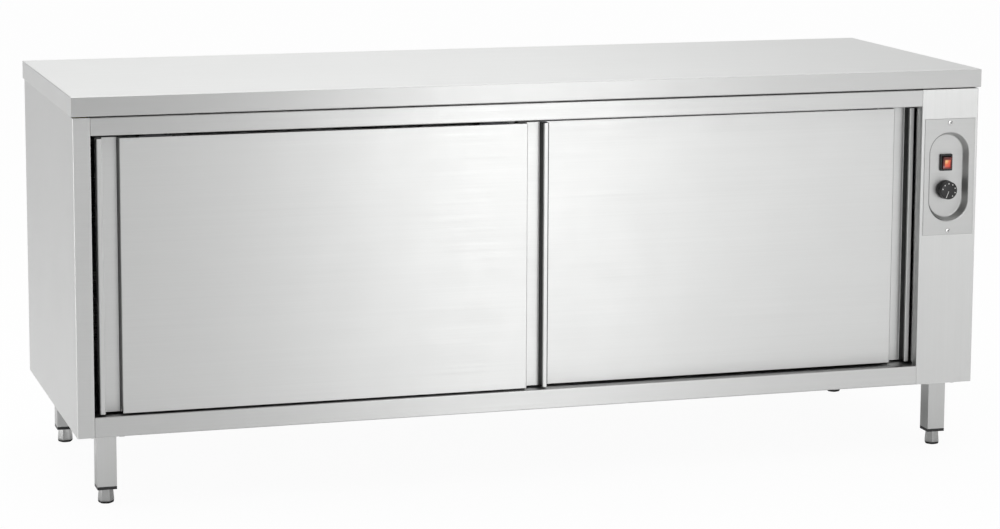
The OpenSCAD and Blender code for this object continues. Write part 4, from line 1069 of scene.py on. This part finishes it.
class CABINET_OT_fan(Operator):
    """Radial impeller with forward-curved blades on a disc"""

    bl_idname = "cabinet.fan"
    bl_label = "Fan Impeller"

    def execute(self, context):
        count = context.scene.cabinet_fittings.blades
        low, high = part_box("fan_impeller")
        pos = Vector(JOINTS["fan_spin"]["pos_m"])
        r = (high.z - low.z) / 2
        disc = low.x + 0.030
        profile = [(disc, 0.0), (disc, r - 0.0006), (disc + 0.0004, r - 0.0001), (disc + 0.0011, r - 0.0001),
                   (disc + 0.0015, r - 0.0006), (disc + 0.0015, 0.013), (disc + 0.003, 0.012),
                   (disc + 0.0115, 0.0118), (disc + 0.012, 0.0112), (disc + 0.012, 0.004),
                   (high.x - 0.0005, 0.004), (high.x, 0.0035), (high.x, 0.0)]
        bm = turned(profile, (0, pos.y, pos.z), (1, 0, 0))
        piece("fan_disc", "fan_impeller", bm, "fitting_steel", ("fan_impeller",), smooth=30)
        root, sweep, steps = 0.038, math.radians(26), 8
        blade = bmesh.new()
        rows = []
        for k in range(steps + 1):
            u = k / steps
            radius = root + (r - 0.0012 - root) * u
            a = sweep * u * u
            rows.append(ring(blade, [(x, radius * math.sin(a), radius * math.cos(a))
                                     for x in (low.x + 0.0008, disc + 0.0002)]))
        for a, b in zip(rows, rows[1:]):
            blade.faces.new((a[0], a[1], b[1], b[0]))
        thicken(blade, 0.0009)
        mesh = scattered("fan_blades", [(0, pos.y, pos.z)] * count, blade, "fitting_steel",
                         turn_step=(2 * math.pi / count, 0, 0))
        piece("fan_blades", "fan_impeller", mesh, None, smooth=30)
        return {"FINISHED"}


# ---------------------------------------------------------------- stage


class CABINET_OT_stage(Operator):
    """White sweep, soft lights and the camera"""

    bl_idname = "cabinet.stage"
    bl_label = "Stage"

    def execute(self, context):
        s = context.scene.cabinet_stage
        scene = context.scene
        scene.view_settings.view_transform = "Standard"
        self.floor()
        self.world(scene, s)
        target = Vector((0.0, -0.3, 0.5))
        for name, power, place, size in (
                ("key_softbox", s.key, (1.7, -6.2, 1.3), (1.2, 2.6)),
                ("fill_softbox", s.fill, (3.4, -6.0, 1.4), (1.8, 2.8)),
                ("side_softbox", s.side, (-4.5, 0.3, 0.9), (2.4, 1.8)),
                ("top_softbox", s.top, (-0.3, 0.6, 4.6), (5.0, 3.0))):
            lamp = bpy.data.lights.new(name, "AREA")
            lamp.shape = "RECTANGLE"
            lamp.size, lamp.size_y = size
            lamp.energy = power
            obj = object_of(name, lamp)
            obj.location = place
            obj.rotation_euler = (target - Vector(place)).to_track_quat("-Z", "Y").to_euler()
        self.camera(scene, s)
        return {"FINISHED"}

    def seen(self, t):
        """1 for what the camera sees, straight or through glass, and 0 for other rays."""
        path = t.add("ShaderNodeLightPath").outputs
        return t.math("MAXIMUM", path["Is Camera Ray"], path["Is Transmission Ray"])

    def floor(self):
        bm = bmesh.new()
        bmesh.ops.create_circle(bm, cap_ends=True, segments=96, radius=60.0)
        mesh = mesh_of(bm, "floor")
        floor = object_of("floor", mesh)
        mat = bpy.data.materials.new("floor_white")
        t = emptied(mat)
        glossy = t.add("ShaderNodeLightPath").outputs["Is Glossy Ray"]
        seen = t.math("MAXIMUM", self.seen(t), t.times(glossy, 0.12))
        tint = t.blend(t.noise(t.stretch(), 60.0, 3.0), 0.3, 0.7, (0.86, 0.86, 0.86), (0.88, 0.88, 0.88))
        matt = t.add("ShaderNodeBsdfDiffuse", {"Color": tint})
        white = t.add("ShaderNodeEmission", {"Color": (1, 1, 1, 1), "Strength": 1.0})
        mix = t.add("ShaderNodeMixShader", {0: t.times(seen, 0.95), 1: matt.outputs[0],
                                            2: white.outputs[0]})
        t.add("ShaderNodeOutputMaterial", {"Surface": mix.outputs[0]})
        mesh.materials.append(mat)

    def world(self, scene, s):
        world = bpy.data.worlds.new("studio")
        scene.world = world
        t = emptied(world)
        ray = t.split(t.add("ShaderNodeTexCoord").outputs["Generated"])
        # A dim room in front, a paler one behind and a bright ceiling
        behind = t.ramp(ray["Y"], -0.1, 0.1, s.room_front, s.room_back)
        level = t.math("ADD", behind, t.ramp(ray["Z"], 0.5, 0.8, 0.0, s.room_top))
        strength = t.add("ShaderNodeMix", {0: self.seen(t), 2: level, 3: 1.0}, data_type="FLOAT")
        sky = t.add("ShaderNodeBackground", {"Color": (1, 1, 1, 1), "Strength": strength.outputs[0]})
        t.add("ShaderNodeOutputWorld", {"Surface": sky.outputs[0]})

    def camera(self, scene, s):
        data = bpy.data.cameras.new("camera")
        data.sensor_fit = "HORIZONTAL"
        data.sensor_width = 36.0
        data.lens = s.lens
        data.shift_y = s.shift
        data.clip_end = 200
        cam = object_of("camera", data)
        forward = Vector((math.sin(s.yaw) * math.cos(s.pitch), math.cos(s.yaw) * math.cos(s.pitch),
                          -math.sin(s.pitch)))
        right = Vector((math.cos(s.yaw), -math.sin(s.yaw), 0.0))
        up = right.cross(forward)
        side = right * math.cos(s.roll) + up * math.sin(s.roll)
        over = up * math.cos(s.roll) - right * math.sin(s.roll)
        turn = Matrix((side, over, -forward)).transposed().to_4x4()
        cam.matrix_world = Matrix.Translation(Vector(s.eye)) @ turn
        scene.camera = cam


# ---------------------------------------------------------------- panel and run


OPERATORS = (
    CABINET_OT_stage,
    CABINET_OT_case_finish,
    CABINET_OT_control_plate,
    CABINET_OT_switch,
    CABINET_OT_knob,
    CABINET_OT_screws,
    CABINET_OT_louvres,
    CABINET_OT_feet,
    CABINET_OT_rollers,
    CABINET_OT_fan,
)

SETTINGS = (
    ("cabinet_steel", SteelSettings, "Steel"),
    ("cabinet_controls", ControlSettings, "Controls"),
    ("cabinet_fittings", FittingSettings, "Fittings"),
    ("cabinet_stage", StageSettings, "Stage"),
)


class CABINET_PT_tools(Panel):
    """Sizes, colours and build steps of the cabinet"""

    bl_idname = "CABINET_PT_tools"
    bl_label = "Plate Cabinet"
    bl_space_type = "VIEW_3D"
    bl_region_type = "UI"
    bl_category = "Cabinet"

    def draw(self, context):
        for attribute, group, title in SETTINGS:
            box = self.layout.box()
            box.label(text=title)
            for name in group.__annotations__:
                box.prop(getattr(context.scene, attribute), name)
        column = self.layout.column(align=True)
        for operator in OPERATORS:
            column.operator(operator.bl_idname)


def register():
    for attribute, group, _ in SETTINGS:
        bpy.utils.register_class(group)
        setattr(bpy.types.Scene, attribute, PointerProperty(type=group))
    for operator in OPERATORS:
        bpy.utils.register_class(operator)
    bpy.utils.register_class(CABINET_PT_tools)


def unregister():
    bpy.utils.unregister_class(CABINET_PT_tools)
    for operator in reversed(OPERATORS):
        bpy.utils.unregister_class(operator)
    for attribute, group, _ in reversed(SETTINGS):
        delattr(bpy.types.Scene, attribute)
        bpy.utils.unregister_class(group)


def main():
    register()
    for operator in OPERATORS:
        group, name = operator.bl_idname.split(".")
        getattr(getattr(bpy.ops, group), name)()


if __name__ == "__main__":
    main()
